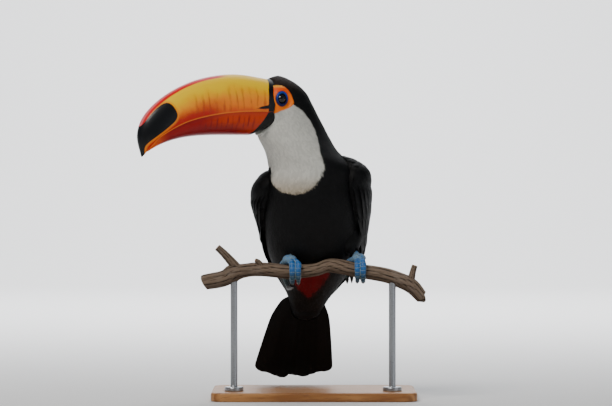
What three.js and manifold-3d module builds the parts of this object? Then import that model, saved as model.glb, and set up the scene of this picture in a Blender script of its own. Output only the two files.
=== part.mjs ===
// Toco toucan (Ramphastos toco), life size, perched on a short cut branch that a plain stand holds up.
// Millimetres, +Z up. The breast faces -Y; the head is turned to the bird's right, so the bill points
// to -X and a little to -Y. The origin is the middle of the stand's underside.
// The body is one loft of turned ovals from the tail root to the crown, parted into named regions by
// thin cuts. Wings, tail and coverts are plates wrapped on it or fanned from it.
import * as THREE from "three";
import { mergeVertices } from "three/addons/utils/BufferGeometryUtils.js";
import Module from "manifold-3d";

const wasm = await Module();
wasm.setup();

// ---------- driving dimensions ----------
const GAP = 0.3; // clearance between neighbouring solids
const HEAD_TURN = 60; // degrees from straight ahead, towards the bird's right
const BODY_SIDES = 18;

// Stations of the body from the tail root up to the brow: middle of the oval, half widths across
// (side) and front to back (fore), the turn of its front in degrees, and how square the oval is.
const BODY = [
  { part: "tail root", at: [-9, 78, 99], side: 17, fore: 8, turn: 0, square: 2 },
  { part: "vent", at: [-5, 66, 119], side: 27, fore: 19, turn: 0, square: 2 },
  { part: "under belly", at: [-2, 53, 141], side: 40, fore: 31, turn: 0, square: 2.1 },
  { part: "belly", at: [0, 40, 165], side: 53, fore: 41, turn: 0, square: 2.2 },
  { part: "flank", at: [-1, 28, 191], side: 58, fore: 48, turn: 4, square: 2.2 },
  { part: "low breast", at: [-2, 18, 218], side: 60, fore: 52, turn: 12, square: 2.1 },
  { part: "breast", at: [-3, 10, 244], side: 57, fore: 51, turn: 21, square: 2 },
  { part: "shoulder", at: [-3, 4, 266], side: 53, fore: 46, turn: 30, square: 2 },
  { part: "neck base", at: [-14, 0, 285], side: 42, fore: 44, turn: 42, square: 2 },
  { part: "throat", at: [-24, -3, 304], side: 34, fore: 45, turn: 53, square: 2 },
  { part: "cheek", at: [-29, -5, 325], side: 29, fore: 36, turn: 60, square: 2.2 },
  { part: "brow", at: [-33.6, -7.7, 345], side: 26, fore: 29, turn: 60, square: 2.4 },
];
const CROWN_RISE = 28.5; // the crown's dome above the brow station
const CROWN_LEAN = 13; // how far the crown's top lies ahead of that station
const ROOT_DROP = 9; // the rounded end below the tail root station

// Bill, in its own plane: forward from the base and up from the gape.
const GAPE = new THREE.Vector3(-60, -23, 330);
const BILL_BASE_HALF_WIDTH = 23;
const BILL_ROOT = 1; // length of horn that the face hides
const CHIN = 5; // how far the lower horn's base bows back below the gape
const CULMEN = [[-9.4, 37.7], [38, 42.4], [84, 35], [122, 17.8], [148, -4.4], [158, -27], [153.4, -52.5]];
const TOMIUM = [[0, 0], [36, -1], [72, -5.2], [106, -14], [133, -28.4], [146, -41.5], [152.2, -52.5]];
const GONYS = [[8.5, -26.1], [60.4, -27.9], [108.8, -22.6], [146.6, -46.4]];

// Eye and the bare skin round it, forward of the head's middle and up from the floor.
const EYE = { forward: 16.5, out: 24.6, height: 344.8, radius: 5.8, sunk: 3.75 };
const LID = { ring: 6.3, tube: 1.3, tall: 1.12 };
const BARE_SKIN = { forward: 14.4, height: 344.6, wide: 12.8, tall: 14.6, deep: 5 };
// The face between head and bill: how far behind the bill's base each ring lies, and how wide it is.
const FACE = [
  { back: -0.6, wide: 23 },
  { back: 8, wide: 25.2 },
  { back: 19, wide: 26.4 },
  { back: 34, wide: 23 },
];

// White bib: half its width round the neck, in mm of arc, at even heights from its foot to its top.
// Its middle lies a few degrees to the bird's right of the neck's front.
const BIB = {
  foot: 237,
  top: 337,
  halfWidths: [6, 38, 47, 52, 63, 72, 70, 48],
  middleAngle: -9,
  deep: 10,
  proud: 14,
  rows: 8,
  columns: 8,
};

// Feet: two toes forward and two back, wrapped on the branch.
// The lanes are the toes' places to the side of the ankle.
const FEET = {
  left: { x: 51.5, z: 148.5, lanes: { second: -1.8, third: 4.9, first: -13.2, fourth: -8 } },
  right: { x: -28, z: 147, lanes: { second: 10.2, third: 3, first: -2, fourth: -8.6 } },
};
const BRANCH_RADIUS = 8.4;
const TOE_RADIUS = 3.7;

// Tail fan of ten feathers.
const TAIL = {
  root: [-13, 80, 118],
  tip: [-26, 121, 18],
  feathers: 10,
  rootHalf: 27,
  tipHalf: 47,
  rootThick: 2.4,
  tipThick: 1.3,
};

// Stand
const BASE = { long: 236, deep: 150, thick: 10, corner: 16, middle: 37 };
const ROD = { radius: 4, foot: 11, footHeight: 5, places: { left: 90, right: -92 } };

// ---------- small tools ----------
const V = (x, y, z) => new THREE.Vector3(x, y, z);
const radians = THREE.MathUtils.degToRad;
const mix = THREE.MathUtils.lerp;
const curve3 = (points) => new THREE.CatmullRomCurve3(points, false, "catmullrom", 0.5);
const range = (count, make) => Array.from({ length: count }, (_, i) => make(i, i / (count - 1)));
const headAhead = V(-Math.sin(radians(HEAD_TURN)), -Math.cos(radians(HEAD_TURN)), 0);
const headLeft = V(-headAhead.y, headAhead.x, 0);

// A closed skin over rings of equal point count: quads between rings and a fan on each end.
function loft(rings) {
  const count = rings[0].length;
  const points = rings.flat();
  const faces = [];
  for (let r = 0; r + 1 < rings.length; r++)
    for (let i = 0; i < count; i++) {
      const a = r * count + i;
      const b = r * count + ((i + 1) % count);
      faces.push(a, b, b + count, a, b + count, a + count);
    }
  const last = (rings.length - 1) * count;
  for (const [start, ring] of [[0, rings[0]], [last, rings.at(-1)]]) {
    const centre = ring.reduce((sum, p) => sum.add(p), V(0, 0, 0)).divideScalar(count);
    const middle = points.push(centre) - 1;
    for (let i = 0; i < count; i++) {
      const edge = [start + ((i + 1) % count), start + i];
      faces.push(middle, ...(start ? edge.reverse() : edge));
    }
  }
  return closed(points, faces);
}

// A plate between two grids of points, an outer and an inner one, joined round its four edges.
function plate(outer, inner) {
  const rows = outer.length;
  const columns = outer[0].length;
  const points = [...outer.flat(), ...inner.flat()];
  const half = rows * columns;
  const faces = [];
  const quad = (a, b, c, d) => faces.push(a, b, c, a, c, d);
  const at = (r, c) => r * columns + c;
  const under = (r, c) => half + at(r, c);
  const wall = (a, b) => quad(at(...a), at(...b), under(...b), under(...a));
  for (let r = 0; r + 1 < rows; r++)
    for (let c = 0; c + 1 < columns; c++) {
      quad(at(r, c), at(r, c + 1), at(r + 1, c + 1), at(r + 1, c));
      quad(under(r, c), under(r + 1, c), under(r + 1, c + 1), under(r, c + 1));
    }
  for (let r = 0; r + 1 < rows; r++) {
    wall([r, 0], [r + 1, 0]);
    wall([r + 1, columns - 1], [r, columns - 1]);
  }
  for (let c = 0; c + 1 < columns; c++) {
    wall([0, c + 1], [0, c]);
    wall([rows - 1, c], [rows - 1, c + 1]);
  }
  return closed(points, faces);
}

// A manifold solid from points and triangles, turned the right way out.
function closed(points, faces) {
  const geometry = new THREE.BufferGeometry().setFromPoints(points);
  geometry.setIndex(faces);
  return solidOf(geometry);
}

function solidOf(geometry) {
  const bare = geometry.clone();
  bare.deleteAttribute("normal");
  bare.deleteAttribute("uv");
  const merged = mergeVertices(bare, 1e-4);
  const build = (triVerts) =>
    new wasm.Manifold(
      new wasm.Mesh({ numProp: 3, vertProperties: merged.attributes.position.array, triVerts }),
    );
  const made = build(new Uint32Array(merged.index.array));
  return made.volume() > 0 ? made : build(new Uint32Array(merged.index.array).reverse());
}

const shapeAt = (geometry, place) => solidOf(geometry.applyMatrix4(place));
const unite = (solids) => solids.reduce((sum, solid) => sum.add(solid));
const cut = (solid, ...tools) => tools.reduce((rest, tool) => rest.subtract(tool), solid);

// The main body of a cut solid, without the slivers that a cut leaves beside it.
function largest(name, solid) {
  const pieces = solid.decompose().sort((a, b) => b.volume() - a.volume());
  const second = pieces[1]?.volume() ?? 0;
  if (second > 0.02 * pieces[0].volume()) throw new Error(`${name} falls apart`);
  return pieces[0];
}

// ---------- body ----------
const bodyLine = curve3(BODY.map((s) => V(...s.at)));
const bodyHalves = curve3(BODY.map((s) => V(s.side, s.fore, s.square)));
const bodyTurns = curve3(BODY.map((s) => V(s.turn, 0, 0)));
const LAST = BODY.length - 1;

// The oval at height parameter t: 0 to 1 along the stations, below 0 and above 1 on the end domes.
function bodyOval(t) {
  const inside = THREE.MathUtils.clamp(t, 0, 1);
  const middle = bodyLine.getPoint(inside);
  const half = bodyHalves.getPoint(inside);
  const turn = radians(bodyTurns.getPoint(inside).x);
  const over = t - inside;
  const shrink = Math.max(0, 1 - over * over) ** (over > 0 ? 0.74 : 0.5);
  middle.z += over * (over > 0 ? CROWN_RISE : ROOT_DROP);
  if (over > 0) middle.addScaledVector(headAhead, CROWN_LEAN * over);
  return { middle, side: half.x * shrink, fore: half.y * shrink, square: half.z, turn };
}

// A point on the body: angle 0 at the oval's front, growing towards the bird's left.
function bodyPoint(t, angle, grow = 0) {
  const { middle, side, fore, square, turn } = bodyOval(t);
  const round = (value) => Math.sign(value) * Math.abs(value) ** (2 / square);
  const ahead = (fore + grow) * round(Math.cos(angle));
  const left = (side + grow) * round(Math.sin(angle));
  return V(
    middle.x - ahead * Math.sin(turn) + left * Math.cos(turn),
    middle.y - ahead * Math.cos(turn) - left * Math.sin(turn),
    middle.z,
  );
}

// Parameters of the rings: even along the stations, with quarter-circle steps on the two domes.
const domeSteps = [0.97, 0.8, 0.5];
const ringsAt = [
  ...domeSteps.map((s) => -s),
  ...range(15, (_, u) => u),
  ...domeSteps.map((s) => 1 + s).reverse(),
];

function bodyShell(grow) {
  const rings = ringsAt.map((t) =>
    range(BODY_SIDES + 1, (_, u) => bodyPoint(t, u * 2 * Math.PI, grow)).slice(0, BODY_SIDES));
  return loft(rings);
}

// The body parameter at a height, found by halving.
function parameterAt(height) {
  let [low, high] = [0, 1];
  for (let i = 0; i < 30; i++) {
    const middle = (low + high) / 2;
    if (bodyLine.getPoint(middle).z < height) low = middle;
    else high = middle;
  }
  return low;
}

// ---------- bill ----------
const billPoint = (forward, up, left = 0) =>
  GAPE.clone().addScaledVector(headAhead, forward).addScaledVector(headLeft, left).add(V(0, 0, up));
const flat = ([forward, up]) => V(forward, up, 0);
const culmenLine = curve3(CULMEN.map(flat));
const tomiumLine = curve3(TOMIUM.map(flat));
const gonysLine = new THREE.CubicBezierCurve3(...GONYS.map(flat));
const billHalfWidth = (s) => BILL_BASE_HALF_WIDTH * (1 - Math.max(s, 0) ** 2.2) ** 0.8;

// One mandible: arches that stand on the tomium edge, up to the culmen or down to the gonys.
function mandible({ ridge, along, width, square, lift, steps, sides, bow, grow }) {
  const rings = range(steps, (_, u) => {
    const s = u * along;
    const start = u === 0 ? -BILL_ROOT - 2 * grow : 0;
    const edge = tomiumLine.getPoint(s).add(V(start, lift - Math.sign(lift) * grow, 0));
    const crest = ridge.getPoint(u).add(V(start, Math.sign(lift) * grow, 0));
    const wide = Math.max(width * billHalfWidth(s), 0.8) + grow;
    return range(sides, (_, v) => {
      const angle = mix(-Math.PI / 2, Math.PI / 2, v);
      const left = Math.sign(angle) * Math.abs(Math.sin(angle)) ** (2 / square) * wide;
      const rise = Math.abs(Math.cos(angle)) ** (2 / square);
      const bowed = u === 0 ? bow * Math.sin(Math.PI * rise) : 0;
      return billPoint(mix(edge.x, crest.x, rise) - bowed, mix(edge.y, crest.y, rise), left);
    });
  });
  return loft(rings);
}

const UPPER = {
  ridge: culmenLine,
  along: 1,
  width: 1,
  square: 2.15,
  lift: GAP / 2,
  steps: 16,
  sides: 13,
  bow: 0,
};
const LOWER = {
  ridge: gonysLine,
  along: 0.87,
  width: 0.95,
  square: 2.5,
  lift: -GAP / 2,
  steps: 12,
  sides: 11,
  bow: CHIN,
};
const upperBill = (grow) => mandible({ ...UPPER, grow });
const lowerBill = (grow) => mandible({ ...LOWER, grow });

// The face: rings with the outline of both mandibles' base, each further back in the head.
function face(grow) {
  const [top, edge, foot] = [culmenLine.getPoint(0), tomiumLine.getPoint(0), gonysLine.getPoint(0)];
  const rings = FACE.map(({ back, wide }, i) => {
    const low = mix(1, 0.8, i / (FACE.length - 1));
    const around = range(15, (_, v) => v * 2 * Math.PI).slice(0, 14);
    return around.map((angle) => {
      const crest = Math.cos(angle) > 0 ? top : foot;
      const rise = Math.abs(Math.cos(angle)) ** 0.9;
      const left = Math.sign(Math.sin(angle)) * Math.abs(Math.sin(angle)) ** 0.8 * (wide + grow);
      const up = mix(edge.y, crest.y + Math.sign(crest.y) * (grow - 0.4), rise) * low;
      return billPoint(mix(edge.x, crest.x, rise) - back, up, left);
    });
  });
  return loft(rings);
}

// ---------- head furniture ----------
const headMiddle = V(-34, -8, 0);
const sideSigns = { left: 1, right: -1 };

// A frame on one side of the head: Z outwards, Y up, at a place forward of the head's middle.
function sideFrame(sign, forward, height, outward) {
  const out = headLeft.clone().multiplyScalar(sign);
  const along = V(0, 0, 1).cross(out);
  const place = headMiddle.clone().addScaledVector(headAhead, forward).addScaledVector(out, outward);
  return new THREE.Matrix4().makeBasis(along, V(0, 0, 1), out).setPosition(place.x, place.y, height);
}

const eyeball = (sign, grow) =>
  shapeAt(new THREE.SphereGeometry(EYE.radius + grow, 12, 7),
    sideFrame(sign, EYE.forward, EYE.height, EYE.out - EYE.sunk));
const lidRing = (sign) =>
  shapeAt(new THREE.TorusGeometry(LID.ring, LID.tube, 6, 14),
    sideFrame(sign, EYE.forward, EYE.height, EYE.out).scale(V(1, LID.tall, 1)));
const ovalPlug = (sign, { forward, height, wide, tall, deep }) =>
  shapeAt(new THREE.CylinderGeometry(1, 1, 40, 12).rotateX(Math.PI / 2),
    sideFrame(sign, forward, height, EYE.out + 20 - deep).scale(V(wide, tall, 1)));
const skinPlug = (sign, grow) => {
  const { wide, tall, deep, ...place } = BARE_SKIN;
  return ovalPlug(sign, { ...place, wide: wide + grow, tall: tall + grow, deep: deep + grow });
};
const lidHole = (sign) => {
  const wide = LID.ring + LID.tube + GAP;
  return ovalPlug(sign, { ...EYE, wide, tall: wide * LID.tall, deep: BARE_SKIN.deep + 1 });
};

// ---------- plates wrapped on the body ----------
const atFraction = (values, u) => {
  const place = THREE.MathUtils.clamp(u, 0, 1) * (values.length - 1);
  const low = Math.min(Math.floor(place), values.length - 2);
  return mix(values[low], values[low + 1], place - low);
};

// A curved plate that straddles the body's surface between two heights. Its half width is an arc
// length either side of a middle angle; a grown copy is larger all round by the clearance.
function wrappedPlate({ foot, top, halfAt, middleAngle, proud, deep, rows, columns }, grow) {
  const grid = (depth) => range(rows, (i, u) => {
    const past = i === 0 ? -grow : i === rows - 1 ? grow : 0;
    const t = parameterAt(mix(foot, top, u) + past);
    const { side, fore } = bodyOval(t);
    const spread = Math.min((halfAt(u) + grow) / ((side + fore) / 2), 3);
    return range(columns, (_, v) => bodyPoint(t, radians(middleAngle) + mix(-spread, spread, v), depth));
  });
  return plate(grid(proud + grow), grid(-deep - grow));
}

const bibPlate = (grow) => wrappedPlate({ ...BIB, halfAt: (u) => atFraction(BIB.halfWidths, u) }, grow);

// ---------- wings ----------
// A folded wing is a curved plate on the body's side. Down its length run its leading edge, from the
// breast's side back to the tail root, and its trailing edge near the middle of the back: angles from
// the front in degrees. Cushion is how far the coverts stand off the body.
const WING = {
  top: { left: 281, right: 265 },
  tip: 110,
  sweep: { left: 0, right: 24 },
  lead: [74, 52, 50, 56, 66, 84, 108, 136],
  trail: [100, 136, 154, 164, 168, 169, 169, 168],
  cushion: [5, 13, 10.4, 6.6, 5, 4],
};
const COVERT_END = 0.5;
const FLIGHT_START = 0.42;
const FLIGHT_FEATHERS = 5;

// A wing plate over a share of the wing's length. The turn of the body's own ovals is undone, so that
// both wings sit square on the trunk.
function wingPlate({ hand, reach, rows, columns, thick }, grow) {
  const grid = (depthAt) => range(rows, (r, u) =>
    range(columns, (i, v) => {
      const past = r === 0 ? -grow / 100 : r === rows - 1 ? grow / 100 : 0;
      const s = reach(u, v, i) + past;
      const t = parameterAt(mix(WING.top[hand], WING.tip, s));
      const lead = atFraction(WING.lead, s) + WING.sweep[hand] * Math.sin(Math.PI * s) - grow;
      const angle = mix(lead, atFraction(WING.trail, s) + grow, v);
      return bodyPoint(t, sideSigns[hand] * radians(angle) + bodyOval(t).turn, depthAt(s, u, v, i));
    }));
  return plate(grid((...where) => thick(...where) + grow), grid(() => -5 - grow));
}

// Shoulder and coverts: a smooth cushion that thins to a rounded edge all round.
const edgeRound = (v) => (1 - Math.abs(2 * v - 1) ** 3) ** 0.7;
const covertPlate = (hand, grow) =>
  wingPlate({
    hand, rows: 8, columns: 7,
    reach: (u, v) => mix(0.05 * (2 * v - 1) ** 2, COVERT_END + 0.07 * Math.sin(Math.PI * v), u),
    thick: (s, u, v) => 2.2 + atFraction(WING.cushion, s / 0.6) * edgeRound(v) * mix(1, 0.85, u ** 6),
  }, grow);

// Flight feathers: a plate with steps that run along the feathers, longest at the leading edge.
const flightPlate = (hand, grow) =>
  wingPlate({
    hand, rows: 5, columns: 2 * FLIGHT_FEATHERS + 1,
    reach: (u, v, i) => mix(FLIGHT_START, mix(1, 0.84, v) - (i % 2 ? 0 : 0.02), u),
    thick: (s, u, v, i) => mix(2.6, 4.4, u) - 1.2 * (u > 0.9) + (i % 2 ? 1.2 : 0),
  }, grow);

// ---------- tail ----------
function tailFan() {
  const root = V(...TAIL.root);
  const tip = V(...TAIL.tip);
  const back = V(0, 1, 0.42).normalize();
  const columns = TAIL.feathers * 2 + 1;
  const grid = (side) => range(4, (_, u) =>
    range(columns, (i, v) => {
      const across = 2 * v - 1;
      const reach = u * (1 - 0.11 * across * across - (i % 2 ? 0 : 0.035 * u));
      const middle = root.clone().lerp(tip, reach);
      const half = mix(TAIL.rootHalf, TAIL.tipHalf, reach ** 0.7);
      const shingle = (i % 2 ? 0.5 : -0.5) * Math.sign(0.5 - v || 1);
      const arch = -7 * across * across * (1 - 0.3 * u);
      const depth = arch + shingle + side * mix(TAIL.rootThick, TAIL.tipThick, u) * 0.5;
      return middle.add(V(half * across, 0, 0)).addScaledVector(back, depth);
    }));
  return plate(grid(1), grid(-1));
}

// Coverts above and below the tail: shield-shaped plates on the body's back and underside.
const COVERTS = {
  under: { foot: 100, top: 148, half: 21, middleAngle: 0, proud: 2.2, deep: 6, rows: 6, columns: 6 },
  rump: { foot: 91, top: 140, half: 20, middleAngle: 180, proud: 3.5, deep: 6, rows: 6, columns: 5 },
};
const coverts = (name, grow) =>
  wrappedPlate({ ...COVERTS[name], halfAt: (u) => COVERTS[name].half * (0.1 + 0.9 * u ** 0.65) }, grow);

// ---------- feet ----------
// A ring of points round a middle, in the plane of two directions at right angles.
const circle = (middle, across, up, radius, sides) =>
  range(sides + 1, (_, v) => v * 2 * Math.PI).slice(0, sides).map((angle) =>
    middle.clone()
      .addScaledVector(across, radius * Math.cos(angle))
      .addScaledVector(up, radius * Math.sin(angle)));

// A round tapering limb along a list of points, with a radius for each.
function limb(points, radii, sides) {
  const line = curve3(points);
  const rings = points.map((_, i) => {
    const u = i / (points.length - 1);
    const along = line.getTangent(u);
    const across = V(1, 0, 0);
    return circle(line.getPoint(u), across, across.clone().cross(along).normalize(), radii[i], sides);
  });
  return loft(rings);
}

const WRAP = BRANCH_RADIUS + TOE_RADIUS + 0.8;
// Toes: where each starts and ends round the branch, in degrees with 90 on top and 180 behind, and
// its thickness. The hind toe that shows below the branch reaches further.
const TOES = {
  second: { from: 96, to: { left: -66, right: -58 }, size: 0.95 },
  third: { from: 96, to: { left: -72, right: -76 }, size: 1 },
  first: { from: 84, to: { left: 236, right: 182 }, size: 0.82 },
  fourth: { from: 84, to: { left: 214, right: 244 }, size: 0.92 },
};
const CLAW_SWEEP = 42;
// Thigh: half sizes, its middle behind and above the foot, nearer the body's middle by inset.
const THIGH = { side: 15, fore: 17, tall: 28, back: 14, lift: 46, inset: 0.8, tilt: 18 };

const onBranch = (foot, angle, radius, lane) =>
  V(foot.x + lane, -radius * Math.cos(radians(angle)), foot.z + radius * Math.sin(radians(angle)));

function toe(hand, name) {
  const { from, to, size } = TOES[name];
  const lane = FEET[hand].lanes[name];
  const joints = 7;
  const points = range(joints, (_, u) =>
    onBranch(FEET[hand], mix(from, to[hand], u), WRAP - 0.3 * u, lane * mix(0.3, 1, Math.min(1, 3 * u))));
  const blunt = (i) => (i === joints - 1 ? 0.72 : 1);
  const radii = range(joints, (i, u) => TOE_RADIUS * size * mix(1.03, 0.8, u) * blunt(i));
  return limb(points, radii, 6);
}

function claw(hand, name) {
  const { from, to, size } = TOES[name];
  const sweep = Math.sign(to[hand] - from) * CLAW_SWEEP;
  const points = range(4, (_, u) =>
    onBranch(FEET[hand], to[hand] + sweep * (0.1 + u), WRAP + 2.4 * u * u, FEET[hand].lanes[name]));
  return limb(points, range(4, (_, u) => 2.4 * size * (1 - u) ** 0.8 + 0.35), 5);
}

// The sole and ankle knob on top of the branch, with a short shank that leans back into the belly.
function sole(foot) {
  const knob = new THREE.SphereGeometry(1, 9, 6).rotateX(Math.PI / 2);
  const place = new THREE.Matrix4().compose(
    onBranch(foot, 88, WRAP + 1.6, 0), new THREE.Quaternion(), V(8.6, 7.6, 5.6));
  const hip = foot.x * THIGH.inset;
  const line = [V(foot.x, 1, foot.z + 14), V(mix(foot.x, hip, 0.4), 5, foot.z + 20), V(hip, 12, foot.z + 30)];
  return shapeAt(knob, place).add(limb(line, [4.4, 4.1, 4.1], 6));
}

// ---------- branch ----------
const BRANCH = [
  [-126, 6, 135], [-104, 3, 139.5], [-88, 0, 147], [-62, 0, 150], [-28, 0, 147], [2, 0, 149.5],
  [20, 0, 154.5], [51, 0, 148.5], [76, 1, 144.5], [98, 3, 138], [113, 5, 130], [124, 7, 118],
];

const BRANCH_RINGS = 22;
const BRANCH_SIDES = 8;
const KNOT = 0.155; // share of the branch's length at which its left twig leaves it
const bump = (distance, width) => Math.exp(-((distance / width) ** 2));

// The branch swells and narrows a little along its length, and is even where the feet hold it.
function branchWith(grow) {
  const line = curve3(BRANCH.map((p) => V(...p)));
  const rings = range(BRANCH_RINGS, (_, u) => {
    const along = line.getTangent(u);
    const across = V(0, 1, 0).addScaledVector(along, -along.y).normalize();
    const middle = line.getPoint(u);
    const swell = 1 + 0.08 * Math.sin(9 * u + 1) + 0.05 * Math.sin(23 * u) + 0.25 * bump(u - KNOT, 0.035);
    const held = Math.max(...Object.values(FEET).map((foot) => bump(middle.x - foot.x, 16)));
    const radius = BRANCH_RADIUS * mix(swell, 0.97, held) + grow;
    return circle(middle, across, along.clone().cross(across), radius, BRANCH_SIDES);
  });
  return loft(rings);
}

// A broken side twig: from the branch outwards, blunt at its end.
const twig = (from, to, thick, thin) => {
  const a = V(...from);
  const b = V(...to);
  const points = range(4, (_, u) => a.clone().lerp(b, u).add(V(0, 0, 1.6 * Math.sin(Math.PI * u))));
  return limb(points, range(4, (_, u) => mix(thick, thin, Math.sqrt(u))), 7);
};

// ---------- stand ----------
function standBase() {
  const { long, deep, thick, corner, middle } = BASE;
  const bevel = 1.5;
  const [x, y] = [long / 2 - bevel, deep / 2 - bevel];
  const outline = new THREE.Shape();
  outline.absarc(x - corner, y - corner, corner, 0, Math.PI / 2);
  outline.absarc(corner - x, y - corner, corner, Math.PI / 2, Math.PI);
  outline.absarc(corner - x, corner - y, corner, Math.PI, 1.5 * Math.PI);
  outline.absarc(x - corner, corner - y, corner, 1.5 * Math.PI, 2 * Math.PI);
  const body = new THREE.ExtrudeGeometry(outline, {
    depth: thick - 2 * bevel,
    bevelThickness: bevel,
    bevelSize: bevel,
    bevelSegments: 1,
    curveSegments: 3,
  });
  return solidOf(body.translate(0, middle, bevel));
}

// A rod with a round foot flange; its top is cut to the branch.
function standRod(x) {
  const { radius, foot, footHeight } = ROD;
  const top = 140;
  const bevel = 1.5;
  const profile = [
    [0, 0], [foot, 0], [foot, footHeight - bevel], [foot - bevel, footHeight], [radius + bevel, footHeight],
    [radius, footHeight + bevel], [radius, top], [0, top],
  ].map(([r, h]) => new THREE.Vector2(r, h));
  const turned = new THREE.LatheGeometry(profile, 12).rotateX(Math.PI / 2);
  return solidOf(turned.translate(x, 0, BASE.thick + GAP));
}

// ---------- assembly ----------
const group = new THREE.Group();
const finish = (color, roughness, metalness = 0) =>
  new THREE.MeshStandardMaterial({ color, roughness, metalness });
const PLUMAGE = {
  black: finish(0x0b0b0d, 0.6),
  white: finish(0xe9e6dc, 0.8),
  red: finish(0x9c0f12, 0.75),
};
const HORN = { upper: finish(0xf59a0c, 0.3), lower: finish(0xc23a0a, 0.3), claw: finish(0x4a4a4c, 0.4) };
const SKIN = { orange: finish(0xf27a12, 0.5), lid: finish(0x1a3fae, 0.4), foot: finish(0x5d93c4, 0.55) };
const EYE_GLOSS = finish(0x0a0806, 0.05);
const STAND = { bark: finish(0x6e5746, 0.9), oak: finish(0x9a7347, 0.45), steel: finish(0x8d8f92, 0.3, 1) };

function add(name, solid, material) {
  const { vertProperties, triVerts } = largest(name, solid).getMesh();
  const geometry = new THREE.BufferGeometry();
  geometry.setAttribute("position", new THREE.BufferAttribute(vertProperties, 3));
  geometry.setIndex(new THREE.BufferAttribute(triVerts, 1));
  const mesh = new THREE.Mesh(geometry, material);
  mesh.name = name;
  group.add(mesh);
}

// Flesh as one solid, then the regions cut from it.
const thigh = (foot, grow) => {
  const ball = new THREE.SphereGeometry(1, 10, 7).rotateX(Math.PI / 2);
  const tilt = new THREE.Quaternion().setFromAxisAngle(V(1, 0, 0), radians(-THIGH.tilt));
  const half = V(THIGH.side + grow, THIGH.fore + grow, THIGH.tall + grow);
  const middle = V(foot.x * THIGH.inset, THIGH.back, foot.z + THIGH.lift);
  return shapeAt(ball, new THREE.Matrix4().compose(middle, tilt, half));
};
const THIGH_PROUD = 1.2; // the cut round each thigh, outside the thigh itself
const feet = Object.entries(FEET);
const fleshWith = (grow) =>
  unite([bodyShell(grow), face(grow), ...feet.map(([, foot]) => thigh(foot, grow))]);

const branch = branchWith(0)
  .add(twig([-88, 0, 150], [-111, -2, 175], 7, 4))
  .add(twig([111, 4, 134], [116, 3, 154], 5.4, 3.4))
  .add(twig([-60, -3, 153], [-67, -5, 160.5], 4.6, 2.4));
const branchRoom = branchWith(GAP);
const horn = upperBill(GAP).add(lowerBill(GAP));
const flesh = cut(fleshWith(0), branchRoom, horn);
const fleshRoom = fleshWith(GAP);

// Half spaces that part head, neck and trunk, as slabs that leave the thin cut.
const slab = (low, high) =>
  solidOf(new THREE.BoxGeometry(400, 400, high - low).translate(0, 0, (low + high) / 2));
const HEAD_FOOT = 312;
const NECK_FOOT = 272;
const headPart = flesh.intersect(slab(HEAD_FOOT + GAP, 500));
const neckPart = flesh.intersect(slab(NECK_FOOT + GAP, HEAD_FOOT));
const trunkPart = flesh.intersect(slab(0, NECK_FOOT));

const eyeRoom = Object.values(sideSigns).map((sign) => eyeball(sign, GAP));
const skinRoom = Object.values(sideSigns).map((sign) => skinPlug(sign, GAP));
const bibRoom = bibPlate(GAP);
add("head", cut(headPart, bibRoom, ...eyeRoom, ...skinRoom), PLUMAGE.black);
add("neck", cut(neckPart, bibRoom), PLUMAGE.black);
add("throat_bib", cut(flesh.intersect(bibPlate(0)), ...skinRoom, ...eyeRoom), PLUMAGE.white);

for (const [hand, sign] of Object.entries(sideSigns)) {
  add(`bare_skin_${hand}`, cut(headPart.intersect(skinPlug(sign, 0)), lidHole(sign)), SKIN.orange);
  add(`eyelid_${hand}`, lidRing(sign), SKIN.lid);
  add(`eye_${hand}`, eyeball(sign, 0), EYE_GLOSS);
}
add("bill_upper", upperBill(0), HORN.upper);
add("bill_lower", lowerBill(0), HORN.lower);

// Thighs and coverts are cut out of the trunk's flesh.
const thighRoom = feet.map(([, foot]) => thigh(foot, THIGH_PROUD + GAP));
const covertRoom = [coverts("under", GAP), coverts("rump", GAP)];
add("trunk", cut(trunkPart, bibRoom, ...covertRoom, ...thighRoom), PLUMAGE.black);
for (const [hand, foot] of feet) {
  add(`thigh_${hand}`, cut(trunkPart.intersect(thigh(foot, THIGH_PROUD)), bibRoom), PLUMAGE.black);
  add(`wing_coverts_${hand}`, cut(covertPlate(hand, 0), fleshRoom), PLUMAGE.black);
  add(`wing_flight_${hand}`, cut(flightPlate(hand, 0), fleshRoom, covertPlate(hand, GAP)), PLUMAGE.black);
}
const wingRoom = feet.map(([hand]) => flightPlate(hand, GAP));
add("undertail_coverts", cut(coverts("under", 0), branchRoom, ...wingRoom), PLUMAGE.red);
add("rump_coverts", cut(coverts("rump", 0), ...wingRoom), PLUMAGE.white);
add("tail", cut(tailFan(), fleshRoom, ...covertRoom, ...wingRoom), PLUMAGE.black);

for (const [hand, foot] of feet) {
  const toes = Object.keys(TOES);
  const whole = unite([sole(foot), ...toes.map((name) => toe(hand, name))]);
  add(`foot_${hand}`, cut(whole, fleshRoom, branchRoom), SKIN.foot);
  for (const name of toes) {
    add(`claw_${name}_${hand}`, cut(claw(hand, name), branchRoom, toe(hand, name)), HORN.claw);
  }
}

add("perch_branch", branch, STAND.bark);
add("stand_base", standBase(), STAND.oak);
for (const [hand, x] of Object.entries(ROD.places)) {
  add(`stand_rod_${hand}`, cut(standRod(x), branchRoom), STAND.steel);
}

export default group;
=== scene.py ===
# %% [markdown]
# # A toco toucan on a display stand
# A life-size museum model: a black bird with a white bib, orange skin round a blue-ringed eye and a huge
# painted bill, gripping a short length of branch that two rods hold over a flat base.
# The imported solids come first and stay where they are. Everything new is made round them, in millimetres,
# and becomes metres only when it is put into a mesh.

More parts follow.
